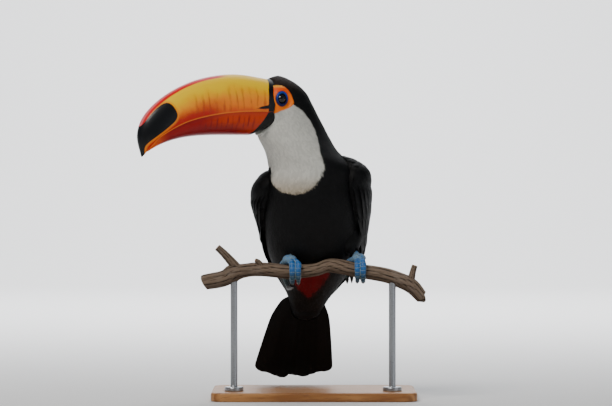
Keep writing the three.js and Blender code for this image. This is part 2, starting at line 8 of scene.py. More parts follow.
import bmesh
import bpy
import numpy as np
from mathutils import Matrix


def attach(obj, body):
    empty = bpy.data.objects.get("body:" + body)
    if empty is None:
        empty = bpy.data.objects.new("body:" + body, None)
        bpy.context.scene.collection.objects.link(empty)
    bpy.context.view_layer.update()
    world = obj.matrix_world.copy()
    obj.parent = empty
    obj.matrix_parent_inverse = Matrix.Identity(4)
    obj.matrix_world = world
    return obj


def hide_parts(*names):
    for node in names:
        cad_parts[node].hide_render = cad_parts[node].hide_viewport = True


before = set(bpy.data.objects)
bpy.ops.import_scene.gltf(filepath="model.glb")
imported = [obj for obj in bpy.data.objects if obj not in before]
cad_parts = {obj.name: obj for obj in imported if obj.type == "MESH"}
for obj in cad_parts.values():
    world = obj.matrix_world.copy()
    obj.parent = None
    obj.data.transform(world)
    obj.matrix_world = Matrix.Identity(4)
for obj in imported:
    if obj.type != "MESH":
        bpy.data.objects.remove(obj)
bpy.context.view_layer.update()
MM = 0.001
TURN = 2 * np.pi
random = np.random.default_rng(7)
print("nodes in the frame:", len(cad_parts))


def curve(points, u):
    """Smooth curve through the points at parameters u, 0 at the first and 1 at the last: cubic pieces whose
    slope at each point is half the step between its two neighbours."""
    points = np.asarray(points, float)
    padded = np.vstack([2 * points[:1] - points[1:2], points, 2 * points[-1:] - points[-2:-1]])
    place = np.clip(u, 0, 1) * (len(points) - 1)
    cell = np.minimum(place.astype(int), len(points) - 2)
    w = (place - cell)[..., None]
    a, b, c, d = (padded[cell + i] for i in range(4))
    start, end = (c - a) / 2, (d - b) / 2
    return b + start * w + (3 * (c - b) - 2 * start - end) * w**2 + (2 * (b - c) + start + end) * w**3


def smooth_step(value, low, high):
    """0 below low, 1 above high, and an S-shaped rise between."""
    x = np.clip((value - low) / (high - low), 0, 1)
    return x * x * (3 - 2 * x)


def mix(a, b, share):
    """The value that lies at a share of the way from a to b."""
    return a + (b - a) * share


def unit(vectors):
    """Vectors scaled to length 1."""
    return vectors / np.maximum(np.linalg.norm(vectors, axis=-1, keepdims=True), 1e-9)


# %% [markdown]
# ## The shape of the body
# A bird's outline is a few ovals carried along a bent line from the tail root to the crown. The ovals turn
# as they climb, because the bird looks over its right shoulder. The same named stations give the solids, so
# the skin can be laid inside them at any depth. On the head the oval is stretched forwards to the bill's
# base, and a smooth maximum blends the two shapes without a crease.

# %% Body stations
# Each row: middle of the oval, half width across, half width front to back, squareness, turn in degrees.
STATIONS = np.array([
    [-9, 78, 99, 17, 8, 2.0, 0],
    [-5, 66, 119, 27, 19, 2.0, 0],
    [-2, 53, 141, 40, 31, 2.1, 0],
    [0, 40, 165, 53, 41, 2.2, 0],
    [-1, 28, 191, 58, 48, 2.2, 4],
    [-2, 18, 218, 60, 52, 2.1, 12],
    [-3, 10, 244, 57, 51, 2.0, 21],
    [-3, 4, 266, 53, 46, 2.0, 30],
    [-14, 0, 285, 42, 44, 2.0, 42],
    [-24, -3, 304, 34, 45, 2.0, 53],
    [-29, -5, 325, 29, 36, 2.2, 60],
    [-33.6, -7.7, 345, 26, 29, 2.4, 60],
])
CROWN_RISE, CROWN_LEAN, CROWN_FLAT = 28.5, 13, 1.6  # how far the crown rises, leans ahead and flattens
ROOT_DROP = 9  # how far the lower dome hangs under the first station
CROWN_DOME, ROOT_DOME = 0.74, 0.5  # power in which a dome shrinks: 0.5 is round, more is pointed
HEAD_TURN = np.radians(60)
AHEAD = np.array([-np.sin(HEAD_TURN), -np.cos(HEAD_TURN), 0])
LEFT = np.array([np.cos(HEAD_TURN), -np.sin(HEAD_TURN), 0])
UP = np.array([0, 0, 1.0])
HEAD_MIDDLE = np.array([-34, -8, 0])
GAPE = np.array([-60, -23, 330])
BILL_REACH = 30.0  # from the head's middle forward to the gape
CULMEN_FOOT = (-9.4, 37.7)  # the bill's top corner at its base: forward of and above the gape
GONYS_FOOT = (8.5, -26.1)  # the bill's bottom corner at its base
CHIN_BOW = 5  # how far the bill's base bows back at the chin
FACE_HALF_WIDTH = 24.5
FACE_CORNERS = 7  # power of the rounded box that the face is drawn out to: more is squarer
FACE_BLEND = 0.08  # width of the smooth change from oval to face, as a share of the oval
BEHIND_BILL = 1.3  # the face ends this far behind the bill's base
print("the head looks", round(np.degrees(HEAD_TURN)), "degrees to the bird's right")

# %% [markdown]
# The body's surface is one function of two parameters: a height that walks up the stations and an angle
# round each oval. Everything that lies on the body, from skin to last feather, asks it where it is.

# %% The body's surface


def bill_base(up):
    """Forward place of the bill's base at a height above the gape: a straight line to the top corner, and
    below the gape a line to the bottom corner that bows back."""
    share = np.clip(-up / -GONYS_FOOT[1], 0, 1)
    below = GONYS_FOOT[0] * share - CHIN_BOW * np.sin(np.pi * share)
    return np.where(up > 0, CULMEN_FOOT[0] * up / CULMEN_FOOT[1], below)


def oval(t):
    """Middle, half widths, squareness and turn of the body's oval at t: 0 to 1 along the stations, and past
    them on the two end domes, where the half widths shrink to nothing."""
    inside = np.clip(t, 0, 1)
    over = t - inside
    row = curve(STATIONS, inside)
    middle = row[..., :3].copy()
    shrink = np.clip(1 - over**2, 0, 1) ** np.where(over > 0, CROWN_DOME, ROOT_DOME)
    top = np.maximum(over, 0)
    middle[..., 2] += over * np.where(over > 0, CROWN_RISE, ROOT_DROP) - CROWN_FLAT * top**5
    middle += (CROWN_LEAN * top * (1 - 0.32 * top**4))[..., None] * AHEAD
    return middle, row[..., 3] * shrink, row[..., 4] * shrink, row[..., 5], np.radians(row[..., 6])


def body(t, angle, grow=0.0):
    """Point of the body at height parameter t and an angle from the oval's front towards the bird's left:
    cosine and sine raised to 2 over the squareness, times the half widths, which may grow. On the face the
    point moves out to a rounded box that reaches the bill's base: the larger of the two distances counts,
    with a smooth change between them."""
    middle, side, fore, square, turn = oval(t)
    ahead = (fore + grow) * np.sign(np.cos(angle)) * np.abs(np.cos(angle)) ** (2 / square)
    left = (side + grow) * np.sign(np.sin(angle)) * np.abs(np.sin(angle)) ** (2 / square)
    offset = np.stack([
        -ahead * np.sin(turn) + left * np.cos(turn),
        -ahead * np.cos(turn) - left * np.sin(turn),
        np.zeros(np.broadcast(ahead, left).shape),
    ], -1)
    up = middle[..., 2] - GAPE[2]
    share = np.abs(up) / np.where(up > 0, CULMEN_FOOT[1], -GONYS_FOOT[1])
    wide = (FACE_HALF_WIDTH + grow) * np.clip(1 - share**2.3, 1e-6, 1) ** 0.42
    reach = BILL_REACH + bill_base(up) - BEHIND_BILL - (middle - HEAD_MIDDLE) @ AHEAD
    forward, aside = np.maximum(offset @ AHEAD, 1e-6), np.abs(offset @ LEFT)
    box = (forward / np.maximum(reach, 1)) ** FACE_CORNERS + (aside / wide) ** FACE_CORNERS
    stretch = np.clip(box, 1e-9, None) ** (-1 / FACE_CORNERS)
    stretch = np.where((offset @ AHEAD > 0) & (share < 1), np.minimum(stretch, 3), 0)
    blend = np.clip(0.5 + (stretch - 1) / (2 * FACE_BLEND), 0, 1)
    factor = mix(1.0, stretch, blend) + FACE_BLEND * blend * (1 - blend)
    return middle + offset * factor[..., None]


FINE_T = np.linspace(0, 1, 400)
MIDDLE_LINE = oval(FINE_T)[0]


def at_height(z):
    """The parameter t at which the body's middle line has a height."""
    return np.interp(z, MIDDLE_LINE[:, 2], FINE_T)


print("top of the crown:", oval(np.array(2.0))[0][2].round(1), "mm")

# %% [markdown]
# ## The shape of the bill
# Three curves in the bill's own plane say it all: the culmen on top, the tomium where the mandibles meet,
# and the gonys below. Each mandible is a row of arches that stand on the tomium.

# %% Bill curves
CULMEN = [[-9.4, 37.7], [38, 42.4], [84, 35], [122, 17.8], [148, -4.4], [157.6, -27], [153.4, -52.3]]
TOMIUM = [[0, 0], [36, -1], [72, -5.2], [106, -14], [133, -28.4], [146, -41.5], [152.2, -52.3]]
GONYS = [[8.5, -26.1], [60.4, -27.9], [108.8, -22.6], [146.6, -46.4]]
BILL_HALF_WIDTH, BILL_TIP_HALF = 23, 0.8
CHIN_RISE, CHIN_CUT = 4.5, 0.055  # the jaw is cut upwards by this at its base, over this share of its length


def culmen(u):
    """Smooth curve through the CULMEN points."""
    return curve(CULMEN, u)


def gonys(u):
    """Cubic curve with the four GONYS points as its handles."""
    a, b, c, d = (np.array(p, float) for p in GONYS)
    u = u[..., None]
    return a * (1 - u) ** 3 + 3 * b * u * (1 - u) ** 2 + 3 * c * u**2 * (1 - u) + d * u**3


def chin(u):
    """The gonys, but cut upwards next to the throat, where the throat's feathers grow over the jaw."""
    rise = CHIN_RISE * np.clip(1 - u / CHIN_CUT, 0, 1) ** 1.2
    return gonys(u) + np.stack([-0.25 * rise, rise], -1)


def bill_place(forward, up, left):
    """A point from its place in the bill's own plane and its distance to the left of it."""
    return GAPE + forward[..., None] * AHEAD + left[..., None] * LEFT + up[..., None] * UP


def mandible(u, angle, ridge, along, width, square, bow):
    """Arches from the tomium to the ridge at a share u of the length: the height goes with the cosine and
    the width with the sine of the angle, both raised to 2 over the squareness. The half width shrinks
    towards the tip, slowly at first, and the bow draws the middle of the base's edge back."""
    s = u * along
    edge = curve(TOMIUM, s)
    crest = ridge(u)
    wide = np.maximum(width * BILL_HALF_WIDTH * (1 - s**2.2) ** 0.8, BILL_TIP_HALF)
    left = np.sign(np.sin(angle)) * np.abs(np.sin(angle)) ** (2 / square) * wide
    rise = np.abs(np.cos(angle)) ** (2 / square)
    plane = mix(edge, crest, rise[..., None])
    plane[..., 0] -= bow * np.sin(np.pi * rise) * np.clip(1 - u * 14, 0, 1)
    return bill_place(plane[..., 0], plane[..., 1], left), plane, rise


UPPER = dict(ridge=culmen, along=1, width=1, square=2.15, bow=0)
LOWER = dict(ridge=chin, along=0.87, width=0.95, square=2.5, bow=CHIN_BOW)
print("bill:", np.linalg.norm(TOMIUM[-1]).round(1), "mm from gape to tip")

# %% [markdown]
# ## From arrays to pieces
# A piece is an array of points and arrays of corner numbers. Both go into the mesh in one call each, which
# stays quick for a hundred thousand faces. Marks on the surface, such as where the bib is, are stored as
# named values on the points, so that a material can read them.

# %% Meshes from arrays


def grid_faces(rows, columns, ring=False, start=0):
    """Corner numbers of the quads between the points of a grid; a ring joins its last column to its first."""
    r, c = np.meshgrid(np.arange(rows - 1), np.arange(columns if ring else columns - 1), indexing="ij")
    here, beside = r * columns + c, r * columns + (c + 1) % columns
    return start + np.stack([here, beside, beside + columns, here + columns], -1).reshape(-1, 4)


def fan_faces(rim, centre, flip=False):
    """Triangles from a closed rim of corner numbers to one centre."""
    fan = np.stack([rim, np.roll(rim, -1), np.full(len(rim), centre)], -1)
    return fan[:, ::-1] if flip else fan


def build(name, points, faces, marks=None, uv=None):
    """A smoothly shaded mesh object from points in millimetres, corner arrays of any size, marks on its
    points, and a map with one place for each point."""
    mesh = bpy.data.meshes.new(name)
    corners = np.concatenate([f.ravel() for f in faces]).astype(np.int32)
    sizes = np.concatenate([np.full(len(f), f.shape[1]) for f in faces])
    mesh.vertices.add(len(points))
    mesh.vertices.foreach_set("co", (points * MM).astype(np.float32).ravel())
    mesh.loops.add(len(corners))
    mesh.loops.foreach_set("vertex_index", corners)
    mesh.polygons.add(len(sizes))
    mesh.polygons.foreach_set("loop_start", (np.cumsum(sizes) - sizes).astype(np.int32))
    if uv is not None:
        layer = mesh.uv_layers.new(name="OFBake")
        layer.uv.foreach_set("vector", uv[corners].astype(np.float32).ravel())
    mesh.update(calc_edges=True)
    piece = bpy.data.objects.new(name, mesh)
    bpy.context.collection.objects.link(piece)
    shade_smooth(piece)
    mark(piece, marks or {})
    return piece


EDGE_ANGLE = np.radians(40)  # faces that meet more sharply than this keep a crisp edge


def shade_smooth(piece):
    """Let the light run over every edge of the mesh as if it were round."""
    piece.data.polygons.foreach_set("use_smooth", np.ones(len(piece.data.polygons), bool))


def triangles(piece):
    """How many triangles the mesh has: two fewer than corners for each face."""
    return sum(len(face.vertices) - 2 for face in piece.data.polygons)


def mark(piece, marks):
    """Store one number for each point of the mesh under each name."""
    for name, values in marks.items():
        layer = piece.data.attributes.new(name, "FLOAT", "POINT")
        layer.data.foreach_set("value", np.asarray(values, np.float32).ravel())


# %% [markdown]
# A few more tools finish a piece: they turn its faces outwards, apply its modifiers through the evaluated
# copy, and pour meshes into one. Every limb is a row of rings that stand square on a bent line.

# %% Tools for finished meshes


def points_of(piece):
    """The mesh's points in millimetres."""
    points = np.empty(len(piece.data.vertices) * 3, np.float32)
    piece.data.vertices.foreach_get("co", points)
    return points.reshape(-1, 3).astype(float) / MM


def closed_loft(name, rings, marks=None):
    """A closed piece from rings of points, with a fan at each end; its faces point outwards."""
    rows, columns = rings.shape[:2]
    points = np.vstack([rings.reshape(-1, 3), rings[:1].mean(1), rings[-1:].mean(1)])
    quads = grid_faces(rows, columns, ring=True)
    first = fan_faces(np.arange(columns), rows * columns, flip=True)
    last = fan_faces(np.arange(columns) + (rows - 1) * columns, rows * columns + 1)
    piece = build(name, points, [quads, first, last], marks)
    turn_outwards(piece)
    return piece


def turn_outwards(piece):
    """Recalculate the normals, so that every face of a closed mesh points out."""
    mesh = bmesh.new()
    mesh.from_mesh(piece.data)
    bmesh.ops.recalc_face_normals(mesh, faces=mesh.faces)
    mesh.to_mesh(piece.data)
    mesh.free()


def settle(piece):
    """Apply the piece's modifiers and keep only the finished mesh."""
    graph = bpy.context.evaluated_depsgraph_get()
    done = bpy.data.meshes.new_from_object(piece.evaluated_get(graph), depsgraph=graph)
    old = piece.data
    piece.modifiers.clear()
    piece.data = done
    bpy.data.meshes.remove(old)


def join(pieces, name):
    """One object from several, which are removed."""
    mesh = bmesh.new()
    for piece in pieces:
        mesh.from_mesh(piece.data)
    joined = bpy.data.meshes.new(name)
    mesh.to_mesh(joined)
    mesh.free()
    for piece in pieces:
        bpy.data.objects.remove(piece)
    whole = bpy.data.objects.new(name, joined)
    bpy.context.collection.objects.link(whole)
    return whole


def limb(points, radii, rows, sides, flat=1.0):
    """Rings round a curve of points: each ring lies across the curve, and its radius follows the list of
    radii. The radius in the curve's own plane is multiplied by flat."""
    u = np.linspace(0, 1, rows)
    middle = curve(points, u)
    along = unit(np.gradient(middle, axis=0))
    across = unit(np.cross(np.cross(along, [1.0, 0, 0]), along) * -1)
    over = np.cross(across, along)
    turn = np.linspace(0, TURN, sides, endpoint=False)[:, None]
    radius = curve(np.array(radii)[:, None], u)[:, None]
    rings = across[:, None] * np.cos(turn) * radius + over[:, None] * np.sin(turn) * radius * flat
    return middle[:, None] + rings


# %% [markdown]
# ## Camera
# The camera stands level with the bird's breast and far off, as a long lens sees it. Its focal length
# follows from the picture's width and from the pixels that a small angle covers.

# %% Camera
CAMERA_DISTANCE = 3200
CAMERA_SIDE = -9.2
CAMERA_HEIGHT = 226.25
PIXELS_PER_RADIAN = 2782.6
PICTURE_WIDTH = 612
camera_data = bpy.data.cameras.new("camera")
camera_data.sensor_width = 36
camera_data.lens = camera_data.sensor_width * PIXELS_PER_RADIAN / PICTURE_WIDTH
camera_data.clip_end = 50  # metres, past the backdrop
camera = bpy.data.objects.new("camera", camera_data)
camera.location = (CAMERA_SIDE * MM, -CAMERA_DISTANCE * MM, CAMERA_HEIGHT * MM)
camera.rotation_euler = (np.pi / 2, 0, 0)
bpy.context.collection.objects.link(camera)
bpy.context.scene.camera = camera
print("lens:", round(camera_data.lens, 1), "mm")

# %% [markdown]
# ## Floor and backdrop
# A studio floor runs up into the wall behind in one curved sweep, so that no line cuts the picture. It is
# a profile of two straight parts and a quarter circle, stretched sideways.

# %% Floor and backdrop
SWEEP_FRONT = 9000  # floor in front of the stand
SWEEP_DEPTH = 4300  # floor behind it, out of reach of a camera that walks round
SWEEP_RADIUS = 1500
SWEEP_TOP = 7000
SWEEP_HALF = 7000
FLOOR_GAP = 0.2  # the floor lies this far under the base, so that the two never flicker
bend = np.radians(np.linspace(0, 90, 25))
profile = np.vstack([
    [[-SWEEP_FRONT, 0]],
    np.stack([SWEEP_DEPTH + SWEEP_RADIUS * np.sin(bend), SWEEP_RADIUS * (1 - np.cos(bend))], -1),
    [[SWEEP_DEPTH + SWEEP_RADIUS, SWEEP_TOP]],
])
ends = np.broadcast_to(np.array([-SWEEP_HALF, SWEEP_HALF])[:, None, None], (2, len(profile), 1))
sweep = np.concatenate([ends, np.broadcast_to(profile, (2, *profile.shape))], -1)
sweep[..., 2] -= FLOOR_GAP
backdrop = build("backdrop", sweep.reshape(-1, 3), [grid_faces(2, len(profile))])
print("backdrop faces:", len(backdrop.data.polygons))

# %% [markdown]
# ## Lights
# Black plumage and a glossy bill ask for large soft lights. The key light above and to the left models the
# bill, the fill opens the shadows, the top light draws the crown's edge, and the last whitens the backdrop.

# %% Lights
LAMPS = [
    # name, place and aim in metres, side of the square, power, colour
    ("key", (-0.9, -1.3, 1.9), (-0.03, 0, 0.25), 0.8, 33, (1, 0.97, 0.92)),
    ("fill", (1.9, -1.6, 0.9), (0, 0, 0.25), 1.6, 7.5, (0.9, 0.95, 1)),
    ("top", (0.3, 0.9, 1.9), (0, 0, 0.3), 1.2, 11, (0.95, 0.97, 1)),
    ("wall", (0, 2.2, 3.4), (0, 5.6, 0.9), 3.0, 470, (0.97, 0.98, 1)),
]
WORLD_POWER = 0.17
WORLD_COLOUR = (0.8, 0.84, 0.88, 1)


def soft_light(name, place, aim, size, power, colour):
    """A square lamp at a place in metres that faces its aim."""
    data = bpy.data.lights.new(name, "AREA")
    data.size, data.energy, data.color = size, power, colour
    lamp = bpy.data.objects.new(name, data)
    lamp.location = place
    look = np.array(aim) - np.array(place)
    tip = np.arccos(-look[2] / np.linalg.norm(look))
    lamp.rotation_euler = (tip, 0, np.arctan2(look[1], look[0]) - np.pi / 2)
    bpy.context.collection.objects.link(lamp)
    print(name, "light:", power, "W")


for lamp_row in LAMPS:
    soft_light(*lamp_row)
world = bpy.data.worlds.new("studio")
world.use_nodes = True
background = world.node_tree.nodes["Background"]
background.inputs["Color"].default_value = WORLD_COLOUR
background.inputs["Strength"].default_value = WORLD_POWER
bpy.context.scene.world = world

# %% [markdown]
# ## Marks on the plumage and skin
# The markings are places on the body, not paint on a picture. The bib is a band round the throat with a
# half width, in degrees, at each height. The orange skin is a rounded patch in the head's side plane. Both
# the skin and every feather ask the same functions, so they always agree.

# %% Outlines of the markings
# Bib: height, and half of its width in degrees round the neck's oval.
BIB_EDGE = np.array([
    [235.6, 0], [237.2, 11], [240, 19], [246, 28.5], [253, 36], [261, 43], [272, 55], [282, 72], [291, 89],
    [300, 103], [309, 110], [320, 109.5], [330, 102], [337, 90], [342, 84], [346, 82],
])
BIB_MIDDLE = np.radians(-4.5)
# Towards the bird's right shoulder: heights, and how many degrees round the bib may reach there.
BIB_SHOULDER = ([250, 256, 264, 285], [38, 47, 62, 120])
BIB_TOP = 342.5  # where it ends behind the eyes
BESIDE_EYE = 3  # forward of the head's middle, past which the bib climbs on to the cheek
SHOULDER_HEIGHT, SHOULDER_OUT = 285, 1.06  # below this height the bib ends this far out of the oval
# Bare orange skin: forward of the head's middle, and height.
ORANGE_EDGE = np.array([
    [28, 329.5], [18, 331], [11.5, 333], [6.3, 335.8], [2.2, 340], [3.4, 345.5], [6, 352], [10.2, 357.4],
    [15.5, 360], [22, 360], [28, 357],
])
EYE_FORWARD, EYE_HEIGHT = 16.5, 344.8
EYE_RADIUS, EYE_OUT = 5.8, 20.85  # ball, and its middle's distance from the head's middle plane
LID_TALL = 1.12  # the opening is this much taller than it is long
LID_RADIUS, LID_TUBE = 6.3, 1.35
FACE_OUT = 24.2  # the bare skin's distance from the head's middle plane
SIDE_OUT = 8  # past this distance a point counts as on the side of the head
HEAD_FOOT = 300  # height at which the neck becomes the head
OUTSIDE = -9.0  # a distance inside a mark that says: nowhere near it


def edge_distance(places, outline):
    """Distance of flat places to a closed outline, negative inside it: the nearest of its straight pieces,
    with the sign from the number of pieces that a level line to the right crosses."""
    a = outline
    b = np.roll(outline, -1, 0)
    span = b - a
    away = places[..., None, :] - a
    share = np.clip((away * span).sum(-1) / (span * span).sum(-1), 0, 1)
    nearest = np.linalg.norm(away - share[..., None] * span, axis=-1).min(-1)
    y = places[..., None, 1]
    crosses = (a[:, 1] > y) != (b[:, 1] > y)
    rise = np.where(span[:, 1] == 0, 1e-9, span[:, 1])
    at = a[:, 0] + (y - a[:, 1]) / rise * span[:, 0]
    inside = (crosses & (places[..., None, 0] < at)).sum(-1) % 2
    return np.where(inside == 1, -nearest, nearest)


def rounded(outline, steps=6):
    """The outline with a smooth closed curve through its points."""
    loop = np.vstack([outline[-2:], outline, outline[:3]])
    u = np.linspace(2, len(outline) + 2, len(outline) * steps, endpoint=False) / (len(loop) - 1)
    return curve(loop, u)


def head_places(points):
    """Forward of the head's middle, distance to the left of it, and height."""
    offset = points - HEAD_MIDDLE
    return offset @ AHEAD, offset @ LEFT, points[..., 2]


def round_place(points):
    """Angle of a point round the body's oval at its height, from the oval's front towards the left, and its
    distance from the middle as a share of the oval's own."""
    middle, side, fore, square, turn = oval(at_height(points[..., 2]))
    x, y = points[..., 0] - middle[..., 0], points[..., 1] - middle[..., 1]
    ahead = (-x * np.sin(turn) - y * np.cos(turn)) / fore
    left = (x * np.cos(turn) - y * np.sin(turn)) / side
    power = square / 2
    angle = np.arctan2(np.sign(left) * np.abs(left) ** power, np.sign(ahead) * np.abs(ahead) ** power)
    return angle, (np.abs(left) ** square + np.abs(ahead) ** square) ** (1 / square)


def bib(points):
    """Distance in mm inside the white bib's edge, negative outside it. Towards the bird's right shoulder the
    bib stops short of the wing, and it never climbs on to a wing."""
    z = points[..., 2]
    half = np.radians(np.interp(z, BIB_EDGE[:, 0], BIB_EDGE[:, 1], left=-20, right=-20))
    girth = curve(STATIONS, at_height(z))[..., 3:5].mean(-1)
    angle, share = round_place(points)
    inside = (half - np.abs(angle - BIB_MIDDLE)) * girth
    inside = np.minimum(inside, (z - BIB_EDGE[0, 0]) * 1.2)
    shoulder = np.interp(z, *BIB_SHOULDER)
    inside = np.minimum(inside, (angle + np.radians(shoulder)) * girth)
    on_trunk = np.minimum(inside, (SHOULDER_OUT - share) * 60)
    inside = np.where(z < SHOULDER_HEIGHT, on_trunk, inside)
    forward = head_places(points)[0]
    return np.where(forward > BESIDE_EYE, inside, np.minimum(inside, BIB_TOP - z))


def orange(points):
    """Distance in mm inside the edge of the bare orange skin, on either side of the head."""
    forward, left, z = head_places(points)
    inside = -edge_distance(np.stack([forward, z], -1), rounded(ORANGE_EDGE))
    return np.where(np.abs(left) > SIDE_OUT, inside, OUTSIDE)


# %% [markdown]
# The red wedge under the tail and the white patch above it are simpler: a half width for each height, below
# or on the back. There is no white where a wing covers the body, because the wings are black.

# %% Marks at the tail
# Heights, and half widths there; a negative one ends the mark.
UNDERTAIL_HALF = ([112, 121, 133, 140, 145, 148], [-2, 8.6, 18, 23, 24, -9])
UNDERTAIL_MIDDLE = -6
RUMP_HALF = ([97, 101, 112, 125, 135, 141], [-9, 15, 16, 14, 11, -9])
RUMP_MIDDLE = -8
RUMP_ANGLE = np.radians(110)  # the back begins this far round from the body's front


def undertail(points):
    """Distance in mm inside the red wedge under the tail: its half width falls to nothing at its foot."""
    half = np.interp(points[..., 2], *UNDERTAIL_HALF)
    under = np.abs(round_place(points)[0]) < np.pi / 2
    return np.where(under, half - np.abs(points[..., 0] - UNDERTAIL_MIDDLE), OUTSIDE)


def rump(points):
    """Distance in mm inside the white patch above the tail, on the back."""
    half = np.interp(points[..., 2], *RUMP_HALF)
    above = np.abs(round_place(points)[0]) > RUMP_ANGLE
    return np.where(above, half - np.abs(points[..., 0] - RUMP_MIDDLE), OUTSIDE)


def markings(points):
    """White, red and brown-crown shares of the plumage at each point: the distances inside the marks, cut
    with a soft edge, and no white on a wing."""
    white = np.maximum(smooth_step(bib(points), -0.7, 0.7), smooth_step(rump(points), -1.5, 1.5))
    white = np.where(inside_wing(points, "right", -4) | inside_wing(points, "left", -2), 0, white)
    crown = smooth_step(points[..., 2], 345, 366) * 0.8
    return {"white": white, "red": smooth_step(undertail(points), -1.5, 1.5), "crown": crown}


print("height of the bib:", round(BIB_TOP - BIB_EDGE[0, 0], 1), "mm")

# %% [markdown]
# ## The skin
# One closed skin lies under all the feathers: the body, the thighs, the wings' arms and the feet. The body
# is one sheet of points over height and angle, with the points closest together round the eyes, where the
# sheet is drawn up into a ring of lid and down behind the eyeball. The other parts are closed shapes that a
# boolean union joins to it, so no seam is left.

# %% The body's sheet
EYE_ANGLE = 61.0
# Heights, and how deep the skin lies there under the tips of the feathers; then the depth on the crown.
COAT_DEPTH = ([95, 130, 260, 300, 335], [1.8, 3, 3, 1.9, 1.3])
CROWN_DEPTH = 1.2


def spread(weight, count):
    """Count values from -180 to 180 degrees, closest together where the weight is high."""
    fine = np.linspace(-180, 180, 2001)
    sums = np.cumsum(weight(fine))
    return np.interp(np.linspace(0, sums[-1], count, endpoint=False), sums, fine)


def coat_depth(t, points):
    """How far the skin lies under the tips of the feathers: least on the head and most on the belly, and
    about half of that under the bib's fine feathers."""
    depth = np.where(t > 1, CROWN_DEPTH, np.interp(points[..., 2], *COAT_DEPTH))
    return depth * (1 - 0.55 * smooth_step(bib(points), -5, 3))


def sculpt_face(points):
    """The side of the face drawn out to one plane under the orange skin, with the lid as half a tube round
    the eye and a pit inside it. Small folds run round the lid."""
    forward, left, z = head_places(points)
    side = np.sign(left)
    across, tall = forward - EYE_FORWARD, (z - EYE_HEIGHT) / LID_TALL
    away = np.hypot(across, tall)
    out = np.abs(left)
    bare = orange(points)
    flat = (1 - smooth_step(away, 8.5, 13.5)) * 0.85
    drawn = mix(out, FACE_OUT - 0.012 * away**2, flat)
    folds = 0.16 * np.sin(away * 4.4 + 1.5 * np.sin(3 * np.arctan2(tall, across)))
    drawn += folds * smooth_step(away, 7.6, 8.6) * smooth_step(bare, 0, 1.5)
    tube = LID_TUBE * np.sqrt(np.clip(1 - ((away - LID_RADIUS) / LID_TUBE) ** 2, 0, 1))
    drawn += tube * 1.05
    pit = np.clip(LID_RADIUS - LID_TUBE * 0.8 - away, 0, 4)
    drawn -= pit * 2.4
    move = (drawn - out) * np.where(np.abs(left) > SIDE_OUT + 2, 1, 0)
    return points + (side * move)[..., None] * LEFT


rows = np.concatenate([
    -np.sin(np.radians(np.linspace(84, 8, 8))),  # the tail root's dome
    at_height(np.linspace(99.5, 302, 68)),
    at_height(np.linspace(302.7, 344.6, 66)),  # closer together on the throat and face
    1 + np.sin(np.radians(np.linspace(3, 86, 34))),  # the crown's dome
])
columns = np.radians(spread(lambda a: 1 + 2.3 * np.exp(-(((np.abs(a) - EYE_ANGLE) / 18) ** 2)), 280))
T, A = np.meshgrid(rows, columns, indexing="ij")
outside = body(T, A)
bare = smooth_step(orange(outside), -0.8, 0.6)
sheet = body(T, A, -coat_depth(T, outside) * (1 - bare) - 0.15)
sheet = sculpt_face(sheet)
skin = closed_loft("skin", sheet)
print("body sheet:", sheet.shape[0], "rows of", sheet.shape[1], "points")

# %% [markdown]
# A folded wing lies on the trunk like a long shield: its leading edge runs down the breast's side and its
# trailing edge near the middle of the back. The arm's muscles lift the shoulder end of it. Under the
# feathers only that arm is flesh, so a thin pad stands for it.

# %% Wing sheet and arm pads
SIDES = {"left": 1, "right": -1}
WING_TOP = {"left": 281, "right": 265}
WING_TIP = 110
WING_SWEEP = {"left": 0, "right": 24}
WING_LEAD = np.array([74, 52, 50, 56, 66, 84, 108, 136.0])[:, None]
WING_TRAIL = np.array([100, 136, 154, 164, 168, 169, 169, 168.0])[:, None]
SHOULDER_DRAWN = {"left": 0, "right": 3.4}
WING_CUSHION = np.array([5, 13, 10.4, 6.6, 5, 4.0])[:, None]
WING_RIM = 2.2  # height of the wing's edges over the body
PAD_COVER, PAD_FADE, PAD_FLOOR = 3.4, -4.5, -7.0  # feathers over the pad; depth of its end and of its floor


def wing_edges(hand, s):
    """Degrees round the body of a wing's leading and trailing edges, at a share s of its length."""
    lead = curve(WING_LEAD, s)[..., 0] + WING_SWEEP[hand] * np.sin(np.pi * np.clip(s, 0, 1))
    return lead, curve(WING_TRAIL, s)[..., 0]


def wing(hand, s, v, depth):
    """Point of the folded wing: s runs from the shoulder to the tip, v from the leading to the trailing
    edge, and depth is the height over the body. The body's own turn is undone, so that the wings sit
    square on the trunk."""
    t = at_height(mix(WING_TOP[hand], WING_TIP, s))
    angle = np.radians(mix(*wing_edges(hand, s), v))
    return body(t, SIDES[hand] * angle + oval(t)[4], depth)


def cushion(hand, s, v):
    """Height of the coverts over the body: a crowned cushion that thins to a round edge. The bird's right
    shoulder is drawn in a little."""
    edge = (1 - np.clip(np.abs(2 * v - 1), 0, 1) ** 3) ** 0.7
    drawn = SHOULDER_DRAWN[hand] * (1 - smooth_step(s, 0.06, 0.22))
    return WING_RIM + (curve(WING_CUSHION, s / 0.6)[..., 0] - drawn) * edge


def inside_wing(points, hand, margin=0.0):
    """Whether points lie on or under a folded wing, away from its edges by a margin in degrees."""
    s = (WING_TOP[hand] - points[..., 2]) / (WING_TOP[hand] - WING_TIP)
    lead, trail = wing_edges(hand, s)
    angle = np.degrees(round_place(points)[0]) - np.degrees(oval(at_height(points[..., 2]))[4])
    angle = (angle * SIDES[hand] + 180) % 360 - 180
    return (s > 0.003 * margin) & (s < 1) & (angle > lead + margin) & (angle < trail - margin)


